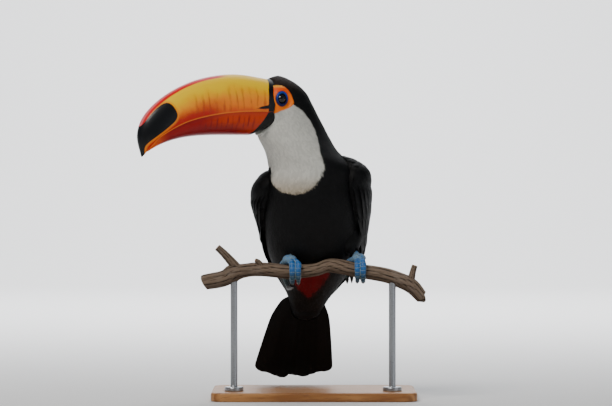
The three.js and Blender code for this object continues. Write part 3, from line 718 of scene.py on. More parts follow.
def arm_pad(hand):
    """Closed pad under the wing coverts: an outer sheet a little under the feathers and an inner one inside
    the body, joined round their edges."""
    s, v = np.meshgrid(np.linspace(0.01, 0.56, 36), np.linspace(0.02, 0.98, 30), indexing="ij")
    depth = mix(cushion(hand, s, v) - PAD_COVER, PAD_FADE, smooth_step(s, 0.3, 0.56))
    depth = mix(-2.0, depth, np.sqrt(smooth_step(s, -0.01, 0.07)))
    outer = wing(hand, s, v, depth)
    inner = wing(hand, s, v, PAD_FLOOR + 0 * s)
    return closed_loft(f"arm_{hand}", np.concatenate([outer, inner[:, ::-1]], axis=1))


print("wings reach from", WING_TOP, "down to", WING_TIP, "mm")

# %% [markdown]
# A toucan grips with two toes forward and two back. The toes wrap round the branch, so their middle lines
# are arcs round it. The joints swell a little, and the pads of the sole lie against the bark.

# %% Toes round the branch
FEET = {
    "left": dict(x=51.5, z=148.5, second=-1.8, third=4.9, first=-13.2, fourth=-8.0),
    "right": dict(x=-28.0, z=147.0, second=10.2, third=3.0, first=-2.0, fourth=-8.6),
}
BRANCH_RADIUS = 8.4
TOE_RADIUS = 3.7
WRAP = BRANCH_RADIUS + TOE_RADIUS + 0.8
# Each toe: where it starts and ends round the branch, 90 degrees on top and 180 behind, and its thickness.
TOES = {
    "second": dict(start=96, left=-66, right=-58, size=0.95),
    "third": dict(start=96, left=-72, right=-76, size=1.0),
    "first": dict(start=84, left=236, right=182, size=0.82),
    "fourth": dict(start=84, left=214, right=262, size=0.96),
}
LOOSE = {"right": {"fourth": (6.0, 7.0)}}  # a hind toe hangs clear of the branch and turns inwards, in mm
CLAW_SWEEP = 42
HIP_SHARE = 0.8  # the hips are this much closer together than the feet


def on_branch(hand, angle, radius, lane):
    """Point round the branch at a foot: angle in degrees, radius from the branch's middle, lane sideways."""
    foot = FEET[hand]
    turn = np.radians(angle)
    x = foot["x"] + lane + 0 * turn
    return np.stack([x, -radius * np.cos(turn), foot["z"] + radius * np.sin(turn)], -1)


def toe_line(hand, name):
    """Middle line of a toe and its radius: an arc round the branch that fans out to its lane."""
    toe = TOES[name]
    u = np.linspace(0, 1, 7)
    lane = FEET[hand][name] * mix(0.3, 1, np.minimum(1, 3 * u))
    slack, inwards = np.array(LOOSE.get(hand, {}).get(name, (0, 0)))[:, None] * smooth_step(u, 0.45, 1)
    line = on_branch(hand, mix(toe["start"], toe[hand], u), WRAP - 0.3 * u + slack, lane + inwards)
    radius = TOE_RADIUS * toe["size"] * mix(1.03, 0.8, u)
    radius[-1] *= 0.72
    return line, radius


print("toes:", len(FEET) * len(TOES), "round a branch of", 2 * BRANCH_RADIUS, "mm")

# %% [markdown]
# Real skin runs over toes, sole and shank without a seam. They are made one by one, and a voxel remesh
# melts them into one closed shape. A boolean union then joins foot, thigh and arm to the body.

# %% Thighs and feet
SOLE_HALF = (8.4, 7.4, 5.4)
SHANK_RADII = [4.3, 4.0, 4.2, 4.4]
THIGH_HALF, THIGH_TILT = (13.5, 15.5, 26), np.radians(-18)
MELT_VOXEL = 0.72


def ellipsoid(name, middle, half, tilt=0.0, count=28):
    """A round body, cosine and sine of two angles times its half sizes, tilted about the X axis."""
    height = np.radians(np.linspace(-88, 88, count))
    turn = np.linspace(0, TURN, 2 * count, endpoint=False)
    up, round_it = np.meshgrid(height, turn, indexing="ij")
    ball = np.stack([np.cos(up) * np.cos(round_it), np.cos(up) * np.sin(round_it), np.sin(up)], -1) * half
    y = ball[..., 1] * np.cos(tilt) - ball[..., 2] * np.sin(tilt)
    z = ball[..., 1] * np.sin(tilt) + ball[..., 2] * np.cos(tilt)
    return closed_loft(name, np.stack([ball[..., 0], y, z], -1) + middle)


def foot(hand):
    """Sole, ankle, shank and toes melted into one closed shape by a voxel remesh, then smoothed."""
    place = FEET[hand]
    x, z = place["x"], place["z"]
    hip = x * HIP_SHARE
    shank = [[x, 1, z + 14], [mix(x, hip, 0.4), 5, z + 20], [hip, 12, z + 30], [hip, 14, z + 36]]
    parts = [
        ellipsoid("sole", on_branch(hand, 88.0, WRAP + 1.6, 0), SOLE_HALF, count=16),
        closed_loft("shank", limb(shank, SHANK_RADII, 20, 20)),
    ]
    for name in TOES:
        line, radius = toe_line(hand, name)
        parts.append(closed_loft(name, limb(line, radius, 40, 20)))
    whole = join(parts, f"foot_{hand}")
    remesh = whole.modifiers.new("melt", "REMESH")
    remesh.mode, remesh.voxel_size = "VOXEL", MELT_VOXEL * MM
    smooth = whole.modifiers.new("smooth", "SMOOTH")
    smooth.factor, smooth.iterations = 0.5, 4
    settle(whole)
    return whole


def thigh(hand):
    """The thigh's muscle, tilted back into the belly, a little under its feathers."""
    place = FEET[hand]
    middle = (place["x"] * HIP_SHARE, 14, place["z"] + 46)
    return ellipsoid(f"thigh_{hand}", middle, THIGH_HALF, THIGH_TILT)


for hand in SIDES:
    for part in (arm_pad(hand), thigh(hand), foot(hand)):
        print(part.name, "faces:", len(part.data.polygons))
        union = skin.modifiers.new("join", "BOOLEAN")
        union.operation, union.solver, union.object = "UNION", "MANIFOLD", part
        settle(skin)
        bpy.data.objects.remove(part)
print("skin triangles:", triangles(skin))

# %% [markdown]
# The union has made a new mesh, so the marks are worked out now, for its own points: distance from an eye,
# on a foot or not, and how white, red or orange a point is.

# %% Marks on the skin
FOOT_REACH = 26  # a foot's skin ends this far from the branch's middle
points = points_of(skin)
forward, left, z = head_places(points)
eye_away = np.hypot(forward - EYE_FORWARD, (z - EYE_HEIGHT) / LID_TALL)
on_side = (np.abs(left) > SIDE_OUT) & (z > HEAD_FOOT)
ankles = np.array([[f["x"], 0, f["z"]] for f in FEET.values()])
foot_away = np.linalg.norm(points[:, None] - ankles, axis=-1).min(1)
mark(skin, markings(points))
mark(skin, {
    "orange": smooth_step(orange(points), -0.5, 0.4) * (z > HEAD_FOOT),
    "eye_away": np.where(on_side, eye_away, 30),
    "foot": (1 - smooth_step(foot_away, FOOT_REACH - 1, FOOT_REACH + 1)) * (points[:, 1] < 16),
})
shade_smooth(skin)
print("marks on", len(points), "points of the skin")

# %% [markdown]
# ## Materials from nodes
# A material is a small sum of patterns. A few helpers keep each one readable: `put` adds a node and sets or
# links its inputs by name, and `blend` and `reckon` are a colour mix and a bit of arithmetic. Effects that
# several finishes share, such as fine grain, are node groups with named inputs.

# %% Node tools


def tint(red, green, blue):
    """A colour from its eight-bit screen values, in the linear light that shaders use."""
    value = np.array([red, green, blue]) / 255
    linear = np.where(value <= 0.04045, value / 12.92, ((value + 0.055) / 1.055) ** 2.4)
    return (*(float(v) for v in linear), 1.0)


def feed(tree, node, inputs):
    """Set each named input of a node to a plain value, or link it to a socket. An underscore stands for a
    space, and i0, i1, ... name inputs by number."""
    for key, value in inputs.items():
        numbered = key[0] == "i" and key[1:].isdigit()
        socket = node.inputs[int(key[1:]) if numbered else key.replace("_", " ")]
        if isinstance(value, bpy.types.NodeSocket):
            tree.links.new(value, socket)
        else:
            socket.default_value = value


def put(tree, kind, settings=None, **inputs):
    """Add a shader node, apply its settings and feed its inputs."""
    node = tree.nodes.new("ShaderNode" + kind)
    for key, value in (settings or {}).items():
        setattr(node, key, value)
    feed(tree, node, inputs)
    return node


def reckon(tree, operation, a, b=0.0):
    """One step of arithmetic on values."""
    return put(tree, "Math", {"operation": operation}, i0=a, i1=b).outputs[0]


def plus(tree, a, b):
    """Sum of two values."""
    return reckon(tree, "ADD", a, b)


def times(tree, *shares):
    """Product of two or more values."""
    product = shares[0]
    for share in shares[1:]:
        product = reckon(tree, "MULTIPLY", product, share)
    return product


def blend(tree, share, a, b, kind="MIX"):
    """Colour a turned towards colour b by a share."""
    settings = {"data_type": "RGBA", "blend_type": kind, "clamp_factor": True}
    return put(tree, "Mix", settings, i0=share, i6=a, i7=b).outputs[2]


def between(tree, value, low, high, start=0.0, end=1.0):
    """A value mapped from low..high to start..end with a smooth rise, held at both ends."""
    settings = {"interpolation_type": "SMOOTHSTEP"}
    node = put(tree, "MapRange", settings, Value=value, From_Min=low, From_Max=high, To_Min=start, To_Max=end)
    return node.outputs[0]


def read(tree, name):
    """A mark stored on the mesh's points."""
    return put(tree, "Attribute", {"attribute_name": name}).outputs["Fac"]


def place(tree, scale=(1, 1, 1)):
    """Object coordinates, scaled along each axis."""
    coordinates = put(tree, "TexCoord").outputs["Object"]
    return put(tree, "Mapping", Vector=coordinates, Scale=scale).outputs[0]


def floor_height(tree):
    """Height over the floor in metres."""
    return put(tree, "SeparateXYZ", Vector=put(tree, "TexCoord").outputs["Object"]).outputs["Z"]


def noise(tree, scale, detail=3.0, roughness=0.55, along=(1, 1, 1)):
    """Cloudy noise, 0 to 1, stretched along the axes whose scale is small."""
    vector = place(tree, along)
    cloud = put(tree, "TexNoise", Vector=vector, Scale=scale, Detail=detail, Roughness=roughness)
    return cloud.outputs["Fac"]


def bump(tree, height, distance, strength):
    """A normal bent by a height; the distance is how many metres a height of 1 stands for."""
    return put(tree, "Bump", Height=height, Distance=distance, Strength=strength).outputs[0]


print("middle grey in linear light:", round(tint(128, 128, 128)[0], 3))

# %% [markdown]
# A node group is built once and then placed like any other node. A material takes fixed settings, and a
# function that gives the sockets for what varies. `dress` is the last step of each piece.

# %% Groups and materials


def group(name, inputs, outputs, fill):
    """A node group: inputs are name -> default value, outputs are name -> kind, and fill(tree, inputs) gives
    the value for each output."""
    tree = bpy.data.node_groups.new(name, "ShaderNodeTree")
    for key, value in inputs.items():
        kind = "NodeSocketColor" if isinstance(value, tuple) else "NodeSocketFloat"
        tree.interface.new_socket(key, in_out="INPUT", socket_type=kind).default_value = value
    for key, kind in outputs.items():
        tree.interface.new_socket(key, in_out="OUTPUT", socket_type=kind)
    entry = tree.nodes.new("NodeGroupInput")
    leave = tree.nodes.new("NodeGroupOutput")
    for key, socket in fill(tree, entry.outputs).items():
        tree.links.new(socket, leave.inputs[key])
    return tree


def use(tree, shared, **inputs):
    """Place a shared group in a material."""
    node = put(tree, "Group", {"node_tree": shared}, **inputs)
    return node.outputs


def material(name, surface, **settings):
    """A material whose shader takes fixed settings, and the varying inputs that surface(tree) gives."""
    made = bpy.data.materials.new(name)
    made.use_nodes = True
    tree = made.node_tree
    shader = tree.nodes["Principled BSDF"]
    feed(tree, shader, settings)
    feed(tree, shader, surface(tree))
    return made


def dress(piece, finish, replaced=()):
    """Give a finished piece its material and its body, and hide the solids it stands for."""
    piece.data.materials.clear()
    piece.data.materials.append(finish)
    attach(piece, "root")
    if replaced:
        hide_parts(*replaced)
    print(piece.name, "in", finish.name, "stands for", len(replaced), "solids")


# %% [markdown]
# ## Effects that finishes share
# Fine grain roughens skin, scutes and bark. The plumage's colour is the same on skin and feathers, so it is
# a group too. A vane's barbs are a relief: a shaft, and fine slanting lines beside it.

# %% Shared effects
FULL_TURN = 6.2832


def fill_grain(tree, entry):
    """Cloudy noise at a scale, with a third as much of a noise five times finer, as a height."""
    cloud = noise(tree, entry["Scale"], 4.0, 0.6)
    fine = noise(tree, times(tree, entry["Scale"], 5.0), 2.0)
    return {"Height": plus(tree, cloud, times(tree, fine, 0.35))}


GRAIN = group("fine grain", {"Scale": 400.0}, {"Height": "NodeSocketFloat"}, fill_grain)


def fill_plumage(tree, entry):
    """Colour of the feathers from the marks for white and red, with a slow drift of shade over the body and
    a little difference from vane to vane. The white is greyer than clean white, as painted shade, and the bib
    turns darker and warmer towards its foot, partly a cream tint and partly painted shade."""
    drift = noise(tree, 26.0)
    black = blend(tree, drift, tint(4, 4, 5), tint(9, 9, 11))
    black = blend(tree, between(tree, entry["Crown"], 0.0, 1.0), black, tint(34, 18, 11))
    # painted shade with a cream tint: the bib darkens and warms towards its foot
    low = between(tree, floor_height(tree), 0.262, 0.236)
    # painted shade: the white is kept greyer than clean white feathers
    white = blend(tree, drift, tint(190, 190, 183), tint(212, 210, 201))
    white = blend(tree, times(tree, low, 0.6), white, tint(158, 134, 96))
    red = blend(tree, drift, tint(78, 0, 6), tint(104, 0, 10))
    colour = blend(tree, entry["White"], blend(tree, entry["Red"], black, red), white)
    shade = between(tree, entry["Tone"], 0.0, 1.0, 0.9, 1.06)
    toned = put(tree, "HueSaturation", Color=colour, Value=shade).outputs[0]
    return {"Color": toned}


PLUMAGE_MARKS = {"White": 0.0, "Red": 0.0, "Crown": 0.0, "Tone": 0.5}
PLUMAGE = group("plumage colour", PLUMAGE_MARKS, {"Color": "NodeSocketColor"}, fill_plumage)


def marked_plumage(tree, **more):
    """Plumage colour from the marks that skin and feathers both carry."""
    marks = {key: read(tree, key.lower()) for key in ("White", "Red", "Crown")}
    return use(tree, PLUMAGE, **marks, **more)["Color"]


def fill_barbs(tree, entry):
    """Height of a vane: a raised shaft in the middle and fine barbs that slant away from it, from the marks
    along and across the vane."""
    across = reckon(tree, "ABSOLUTE", entry["Across"])
    lean = times(tree, across, times(tree, entry["Count"], -0.35))
    slant = plus(tree, times(tree, entry["Along"], entry["Count"]), lean)
    wave = reckon(tree, "SINE", times(tree, slant, FULL_TURN))
    shaft = between(tree, across, 0.16, 0.0)
    return {"Height": plus(tree, times(tree, wave, 0.3), shaft)}


VANE_MARKS = {"Along": 0.0, "Across": 0.0, "Count": 24.0}
BARBS = group("vane barbs", VANE_MARKS, {"Height": "NodeSocketFloat"}, fill_barbs)
print("node groups:", [g.name for g in bpy.data.node_groups])

# %% [markdown]
# ## Finish of the skin
# Where feathers cover it, the skin only has to match them, with painted shade where those feathers are not
# white. What shows is the orange skin, which is finely pebbled and redder above the eye with a yellow rim on
# top, the blue ring with a dark rim, painted lighter above and darker below as painted light and shade, and
# the blue-grey scaly feet.

# %% Skin material


def skin_surface(tree):
    """Plumage colours, darkened with painted shade where the feathers over the skin are not white; then
    orange, ring and foot painted over them by their marks. The ring is painted lighter above and darker below
    as painted light and shade.
    """
    feathers = marked_plumage(tree)
    # painted shade: the skin under feathers that are not white is darkened, as if in their shadow
    painted_feather_shade = between(tree, read(tree, "white"), 1.0, 0.4, 0.0, 0.6)
    feathers = blend(tree, painted_feather_shade, feathers, tint(20, 20, 22), "MULTIPLY")
    grain = use(tree, GRAIN, Scale=900.0)
    cloud = noise(tree, 170.0)
    sunny = blend(tree, cloud, tint(246, 98, 0), tint(255, 138, 0))
    height = floor_height(tree)
    sunny = blend(tree, between(tree, height, 0.345, 0.354), sunny, tint(238, 84, 0))
    sunny = blend(tree, between(tree, height, 0.356, 0.3605), sunny, tint(255, 176, 40))
    away = read(tree, "eye_away")
    # painted light and shade: the blue ring is lighter above and navy below, as light from above makes it
    ring = blend(tree, between(tree, height, 0.339, 0.351), tint(16, 20, 76), tint(8, 58, 158))
    ring = blend(tree, between(tree, away, 5.6, 5.0), ring, tint(6, 8, 26))
    bare = blend(tree, between(tree, away, 8.3, 7.55), sunny, ring)
    rim = times(tree, between(tree, away, 8.5, 7.8), between(tree, away, 7.2, 7.7), 0.75)
    bare = blend(tree, rim, bare, tint(40, 18, 24))
    edges = {"feature": "DISTANCE_TO_EDGE"}
    scales = put(tree, "TexVoronoi", edges, Vector=place(tree), Scale=390.0).outputs[0]
    scale_face = between(tree, scales, 0.0, 0.09)
    foot_blue = blend(tree, cloud, tint(38, 98, 160), tint(84, 146, 204))
    foot_blue = blend(tree, between(tree, scales, 0.3, 0.1), foot_blue, tint(140, 170, 190))
    foot_blue = blend(tree, between(tree, height, 0.152, 0.142), foot_blue, tint(104, 116, 116))
    foot_skin = blend(tree, scale_face, tint(24, 34, 48), foot_blue)
    colour = blend(tree, read(tree, "orange"), feathers, bare)
    colour = blend(tree, read(tree, "foot"), colour, foot_skin)
    shine = between(tree, read(tree, "orange"), 0.0, 1.0, 0.75, 0.42)
    relief = plus(tree, times(tree, scale_face, read(tree, "foot")), grain["Height"])
    return {"Base Color": colour, "Roughness": shine, "Normal": bump(tree, relief, 0.00025, 0.7)}


SKIN_FINISH = material("bare skin and down", skin_surface, Specular_IOR_Level=0.25)
FLESH_NODES = [
    "head", "neck", "trunk", "throat_bib", "thigh_left", "thigh_right", "bare_skin_left", "bare_skin_right",
    "eyelid_left", "eyelid_right", "foot_left", "foot_right",
]
dress(skin, SKIN_FINISH, FLESH_NODES)

# %% [markdown]
# ## The coat
# A contour feather is a thin vane: rooted in the skin, raised along its shaft, rounded at its end, and laid
# over the ones below like a roof tile. Thousands are needed, so all of them are worked out together. Each
# one takes six short steps over the skin in the direction of the lie, and Blender's Shrinkwrap presses every
# step back on to the skin, whatever its shape. Rings of four points round that path make a closed vane.

# %% The lie of the coat
BODY_DOWN = -unit(np.gradient(MIDDLE_LINE, axis=0))
HEAD_FLOW = -AHEAD * 0.95 - UP * 0.34  # on the head the feathers point back and a little down
EYE_CLEAR, EYE_CLEAR_WIDTH = 12, 5  # distance from an eye where they are turned aside most


def lie(points):
    """Direction in which the feathers lie: down the body's middle line, and on the head away from the bill,
    turned aside where the bare skin round an eye is in the way."""
    forward, left, z = head_places(points)
    down = np.stack([np.interp(z, MIDDLE_LINE[:, 2], BODY_DOWN[:, i]) for i in range(3)], -1)
    head = smooth_step(z, HEAD_FOOT, HEAD_FOOT + 50)[..., None]
    flow = mix(down, HEAD_FLOW, head)
    away = np.stack([forward - EYE_FORWARD, (z - EYE_HEIGHT) / LID_TALL], -1)
    reach = np.linalg.norm(away, axis=-1)
    near = np.exp(-(((reach - EYE_CLEAR) / EYE_CLEAR_WIDTH) ** 2))
    push = near * (np.abs(left) > SIDE_OUT + 2) * 1.1
    aside = unit(away)
    flow = flow + push[..., None] * (aside[..., :1] * AHEAD + aside[..., 1:] * UP)
    return unit(flow)


def press(points, lift=0.0):
    """Each point moved to the nearest place on the skin, and then out from it by the lift."""
    cloud = bpy.data.meshes.new("press")
    cloud.vertices.add(len(points))
    cloud.vertices.foreach_set("co", (points * MM).astype(np.float32).ravel())
    carrier = bpy.data.objects.new("press", cloud)
    bpy.context.collection.objects.link(carrier)
    wrap = carrier.modifiers.new("wrap", "SHRINKWRAP")
    wrap.target, wrap.wrap_method = skin, "NEAREST_SURFACEPOINT"
    wrap.wrap_mode, wrap.offset = "ABOVE_SURFACE", lift * MM
    settle(carrier)
    pressed = points_of(carrier)
    bpy.data.objects.remove(carrier)
    return pressed


print("down the breast:", lie(np.array([[0, -40.0, 200]])).round(2))

# %% [markdown]
# A vane is a flat tube of four-point rings: shaft, keel and two sharp edges. A quill's rings have six points.
# One function treats all the vanes of a piece as one array, so a thousand are made as fast as one.

# %% Vanes
# Sections of a vane: each row is a place across it, in half widths, and a height, in thicknesses.
TUFT = np.array([[-1, 0], [0, 1], [1, 0], [0, -0.45]])
QUILL = np.array([[-1, 0], [-0.5, 0.45], [0, 1.3], [0.4, 0.5], [1, 0], [0, -0.5]])
PATCH = 0.003  # size of one feather's place on the map
VANE_CREASE = np.radians(70)  # the two faces of a vane meet in a crisp edge


def vane_faces(count, rings, sides):
    """Corner numbers for many vanes: each has a root point, its rings, and an end point."""
    size = rings * sides + 2
    quads = grid_faces(rings, sides, ring=True, start=1)
    root = fan_faces(np.arange(1, sides + 1), 0, flip=True)
    tip = fan_faces(np.arange(1, sides + 1) + sides * (rings - 1), size - 1)
    first = np.arange(count)[:, None, None] * size
    return [(faces + first).reshape(-1, faces.shape[1]) for faces in (quads, root, tip)]


def vanes(name, path, over, across, half, steps, section, thick, unwrap, arch=0.13, tilt=0.0):
    """A piece of many vanes. Each has a path of points with an outward direction and one across it. A ring's
    points are the path, plus the section's first column times the half width across, plus its second times
    the thickness outwards. The edges bend down by the arch, and the tilt raises one edge over the next vane.
    Each mark is a mix of the body's at the point itself and near the vane's end. Quilled vanes carry none:
    wings and tail are black."""
    count, sides = len(path), len(section)
    share, height = section[:, 0], section[:, 1]
    body_half = half[:, 1:-1, None]
    lift = height * np.broadcast_to(thick, half.shape)[:, 1:-1, None]
    lift = lift - arch * body_half * share**2 + tilt * share
    rings = path[:, 1:-1, None] + (body_half * share)[..., None] * across[:, 1:-1, None]
    rings = rings + lift[..., None] * over[:, 1:-1, None]
    points = np.concatenate([path[:, :1], rings.reshape(count, -1, 3), path[:, -1:]], 1)
    along = np.concatenate([[0], np.repeat(steps[1:-1], sides), [1]])
    sideways = np.concatenate([[0], np.tile(share, len(steps) - 2), [0]])
    tone = random.random(count)
    size = len(along)
    flat = points.reshape(-1, 3)
    marks = {"along": np.tile(along, count), "across": np.tile(sideways, count)}
    marks["tone"] = np.repeat(tone, size)
    ends = markings(path[:, -2] + random.normal(0, 0.3, (count, 3)))
    for key, value in markings(flat).items():
        whole = 0.2 if key == "white" else 0.6
        marks[key] = mix(value, np.repeat(ends[key], size), whole) * (sides == len(TUFT))
    spot = np.stack([marks["across"] * 0.5, marks["along"] - 0.5], -1) * PATCH
    faces = vane_faces(count, len(steps) - 2, sides)
    piece = build(name, flat, faces, marks, np.repeat(unwrap, size, axis=0) + spot)
    piece.data.set_sharp_from_angle(angle=VANE_CREASE)
    return piece


TUFT_STEPS = np.array([0, 0.17, 0.4, 0.63, 0.83, 0.95, 1.0])
TUFT_WIDTH = np.array([0, 0.7, 1.0, 0.96, 0.72, 0.4, 0])


def feathers(name, roots, unwrap, length, width, lift, thick):
    """Contour feathers from their roots, their places on the skin's unwrap and their sizes. Each path starts
    just inside the skin and rises to the lift at its end."""
    path = [press(roots)]
    for step in np.diff(TUFT_STEPS):
        path.append(press(path[-1] + lie(path[-1]) * (length * step)[:, None]))
    path = np.stack(path, 1)
    over = unit(press(path.reshape(-1, 3), 1.0).reshape(path.shape) - path)
    across = unit(np.cross(over, unit(np.gradient(path, axis=1))))
    rise = lift[:, None] * np.sqrt(TUFT_STEPS) - 0.35 * (TUFT_STEPS < 0.1)
    path = path + rise[..., None] * over
    ridge = thick * (0.5 + 0.5 * TUFT_WIDTH)[None]
    return vanes(name, path, over, across, width[:, None] * TUFT_WIDTH, TUFT_STEPS, TUFT, ridge, unwrap)


print("faces of one contour feather:", sum(len(f) for f in vane_faces(1, len(TUFT_STEPS) - 2, len(TUFT))))

# %% [markdown]
# Feathers stand in rows round the body, each row shifted by half a step like roof tiles: long and far apart
# on the belly, tiny on the crown. None stand on bare skin, on the bill's base or under the wings.

# %% Where the feathers stand


JITTER = 0.22  # how far a root may be off its place, in steps
WALK = 0.004  # a short way up the height parameter, to measure how long it is on the body


def roots_between(low, high, step):
    """Roots in rows round the body between two parameters: rows and places one step apart, each row shifted
    by half a step, and all of them a little off their places."""
    t = [low]
    while t[-1] < high:
        middle, _, fore, *_ = oval(np.array(t[-1]))
        ahead = oval(np.array(min(t[-1] + WALK, 1.999)))
        run = np.hypot(np.linalg.norm(ahead[0] - middle), ahead[2] - fore) / WALK
        t.append(t[-1] + step / max(run, 40))
    places = []
    for row, value in enumerate(t[:-1]):
        _, side, fore, *_ = oval(np.array(value))
        count = max(int(TURN * (side + fore) / 2 / step), 3)
        angle = (np.arange(count) + 0.5 * (row % 2)) / count * TURN - np.pi
        places.append(np.stack([np.full(count, value), angle], -1))
    places = np.concatenate(places)
    jitter = random.uniform(-JITTER, JITTER, places.shape)
    girth = np.maximum(oval(places[:, 0])[1], 3)
    return places + jitter * np.stack([np.full(len(places), step * 0.0035), step / girth], -1)


def keep(points, places):
    """Roots outside the bare skin, the bill and the covered part of the wings."""
    forward, _, z = head_places(points)
    bare = (orange(points) > -0.4) & (z > HEAD_FOOT)
    reach = BILL_REACH + bill_base(z - GAPE[2])
    horn = (forward > reach - 0.3) & (z > GAPE[2] - 12) & (z < GAPE[2] + CULMEN_FOOT[1])
    under = inside_wing(points, "left", 9) | inside_wing(points, "right", 9)
    good = ~bare & ~horn & ~under
    return points[good], places[good]


def unwrap_of(places):
    """A root's place on the unwrap of the body: angle to the right and height parameter upwards."""
    return np.stack([places[:, 1] / TURN + 0.5, (places[:, 0] + 1) / 3], -1) * 0.96 + 0.02


COAT = [
    # name, from and to parameter, spacing, length, half width, lift, thickness
    ("coat_tail_root", -0.6, 0.14, 3.6, 17, 3.2, 1.7, 0.2),
    ("coat_belly", 0.14, 0.42, 3.6, 18, 3.4, 2.2, 0.2),
    ("coat_breast", 0.42, 0.64, 3.0, 15, 2.8, 2.0, 0.18),
    ("coat_neck", 0.64, 0.84, 2.2, 11, 1.9, 1.3, 0.12),
    ("coat_cheek", 0.84, 1.0, 1.7, 8, 1.35, 0.85, 0.09),
    ("coat_crown", 1.0, 1.97, 1.65, 7, 1.2, 0.7, 0.08),
]
coat = []
for name, low, high, step, length, width, lift, thick in COAT:
    places = roots_between(low, high, step)
    points = body(places[:, 0], places[:, 1])
    points, places = keep(points, places)
    count = len(points)
    smooth = mix(1.0, 0.66, markings(points)["white"])  # the bib's feathers are finer and lie closer
    close = smooth**1.8
    long = length * (random.uniform(0.88, 1.12, count) * smooth)
    half = width * random.uniform(0.9, 1.1, count) * smooth**0.5
    high = lift * random.uniform(0.85, 1.12, count) * close
    piece = feathers(name, points, unwrap_of(places), long, half, high, thick * close[:, None])
    coat.append(piece)
    print(name, count, "feathers", triangles(piece), "triangles")

# %% [markdown]
# ## Finish of the feathers
# Black plumage has a soft sheen, and the light breaks on its shafts and barbs. White plumage scatters light
# inside it, so it is rougher. The relief comes from each vane's own marks along and across it.

# %% Feather material


def feather_surface(tree):
    """Plumage colour from the vane's own marks, and barbs and shaft as relief."""
    colour = marked_plumage(tree, Tone=read(tree, "tone"))
    barbs = use(tree, BARBS, Along=read(tree, "along"), Across=read(tree, "across"))
    matt = between(tree, read(tree, "white"), 0.0, 1.0, 0.55, 0.85)
    return {"Base Color": colour, "Roughness": matt, "Normal": bump(tree, barbs["Height"], 0.00012, 0.4)}


FEATHER = material("contour feathers", feather_surface, Specular_IOR_Level=0.16)
for piece in coat:
    dress(piece, FEATHER)

# %% [markdown]
# ## The bill
# The huge bill is thin horn over light foam, so it has the soft gloss of polished horn. Each mandible is one
# closed surface: arches from tomium to ridge, with a flat floor. Its colours run into each other, but the
# black tip, band and chin have sharp edges, so their signed distances are stored on the points and the
# material only has to cut them at zero.

# %% Bill patterns
# Outlines in the bill's plane: forward of and above the gape.
TIP_PATCH = np.array([
    [150, -58], [152, -43.4], [149.5, -37.5], [142.6, -31.4], [132.9, -23.9], [124.7, -17.2], [119.2, -11.9],
    [116.8, -5.9], [118.3, -0.2], [121.9, 5.6], [126.7, 8], [133, 5.5], [141, -1], [149, -10], [156.2, -19],
    [166, -30], [162, -56],
])
STREAK = np.array([
    [-3, 7.6], [3.1, 7.2], [10.7, 5.9], [17.2, 3.9], [20.4, 3.0], [12.1, 2.7], [3.2, 3.1], [-3, 3.2],
])
CHIN_PATCH = np.array([
    [-6, 1], [2.8, -0.8], [9.7, -10.9], [15.7, -18.6], [19.9, -24.3], [21.4, -27], [16, -31], [0, -33],
    [-12, -16],
])
# Black band along the base: heights above the gape, and its width there.
BAND_WIDTH = ([0, 4, 13, 25, 36, 40], [3.6, 4.2, 5.9, 7.1, 5.8, 5.4])
PLUG = 3.5  # how far the bill runs on into the head
FLOOR_COLUMNS = 10


def bill_marks(plane, rise, ridge_gap, black):
    """Forward in the bill's plane, share of the way to the ridge, distance below it, and how far inside the
    black parts."""
    return {"forward": plane[..., 0], "rise": rise, "below": (1 - rise) * ridge_gap, "black": black}


def horn_piece(name, shape, black_parts, rows=210, columns=97):
    """One mandible: arches over the two parameters, closed by a floor and by a plug in the head."""
    u = np.concatenate([[0], np.linspace(0, 1, rows - 1) ** 1.06])
    angle = np.radians(np.linspace(-90, 90, columns))
    U, A = np.meshgrid(u, angle, indexing="ij")
    arch, plane, rise = mandible(U, A, **shape)
    floor = mix(arch[:, -1:], arch[:, :1], np.linspace(0, 1, FLOOR_COLUMNS + 2)[1:-1, None])
    rings = np.concatenate([arch, floor], 1)
    plane = np.concatenate([plane, np.repeat(plane[:, :1], FLOOR_COLUMNS, 1)], 1)
    rise = np.concatenate([rise, np.zeros(floor.shape[:2])], 1)
    gap = np.linalg.norm(shape["ridge"](U[:, :1]) - plane[:, :1], axis=-1)
    rings[0] -= PLUG * AHEAD
    marks = bill_marks(plane, rise, gap, black_parts(plane))
    ends = {key: np.concatenate([v.ravel(), v[:1].mean(1), v[-1:].mean(1)]) for key, v in marks.items()}
    piece = closed_loft(name, rings, marks=ends)
    piece.data.set_sharp_from_angle(angle=np.radians(50))
    print(name, "faces:", len(piece.data.polygons))
    return piece


def upper_black(plane):
    """Distance inside the tip patch, the band along the base or the streak behind the gape."""
    tip = -edge_distance(plane, rounded(TIP_PATCH, 3))
    forward, up = plane[..., 0], plane[..., 1]
    band = np.interp(up, *BAND_WIDTH) - (forward - bill_base(up))
    streak = -edge_distance(plane, STREAK)
    return np.maximum(np.maximum(tip, band), streak)


def lower_black(plane):
    """Distance inside the chin patch."""
    return -edge_distance(plane, CHIN_PATCH)


upper_bill = horn_piece("upper_bill", UPPER, upper_black)
lower_bill = horn_piece("lower_bill", LOWER, lower_black)

# %% [markdown]
# The horn is yellow above and orange along its cutting edge, barred with red-brown, red along the ridge and
# crimson below. Each colour is blended over the last by a share of the stored places and slow noise.

# %% Horn materials


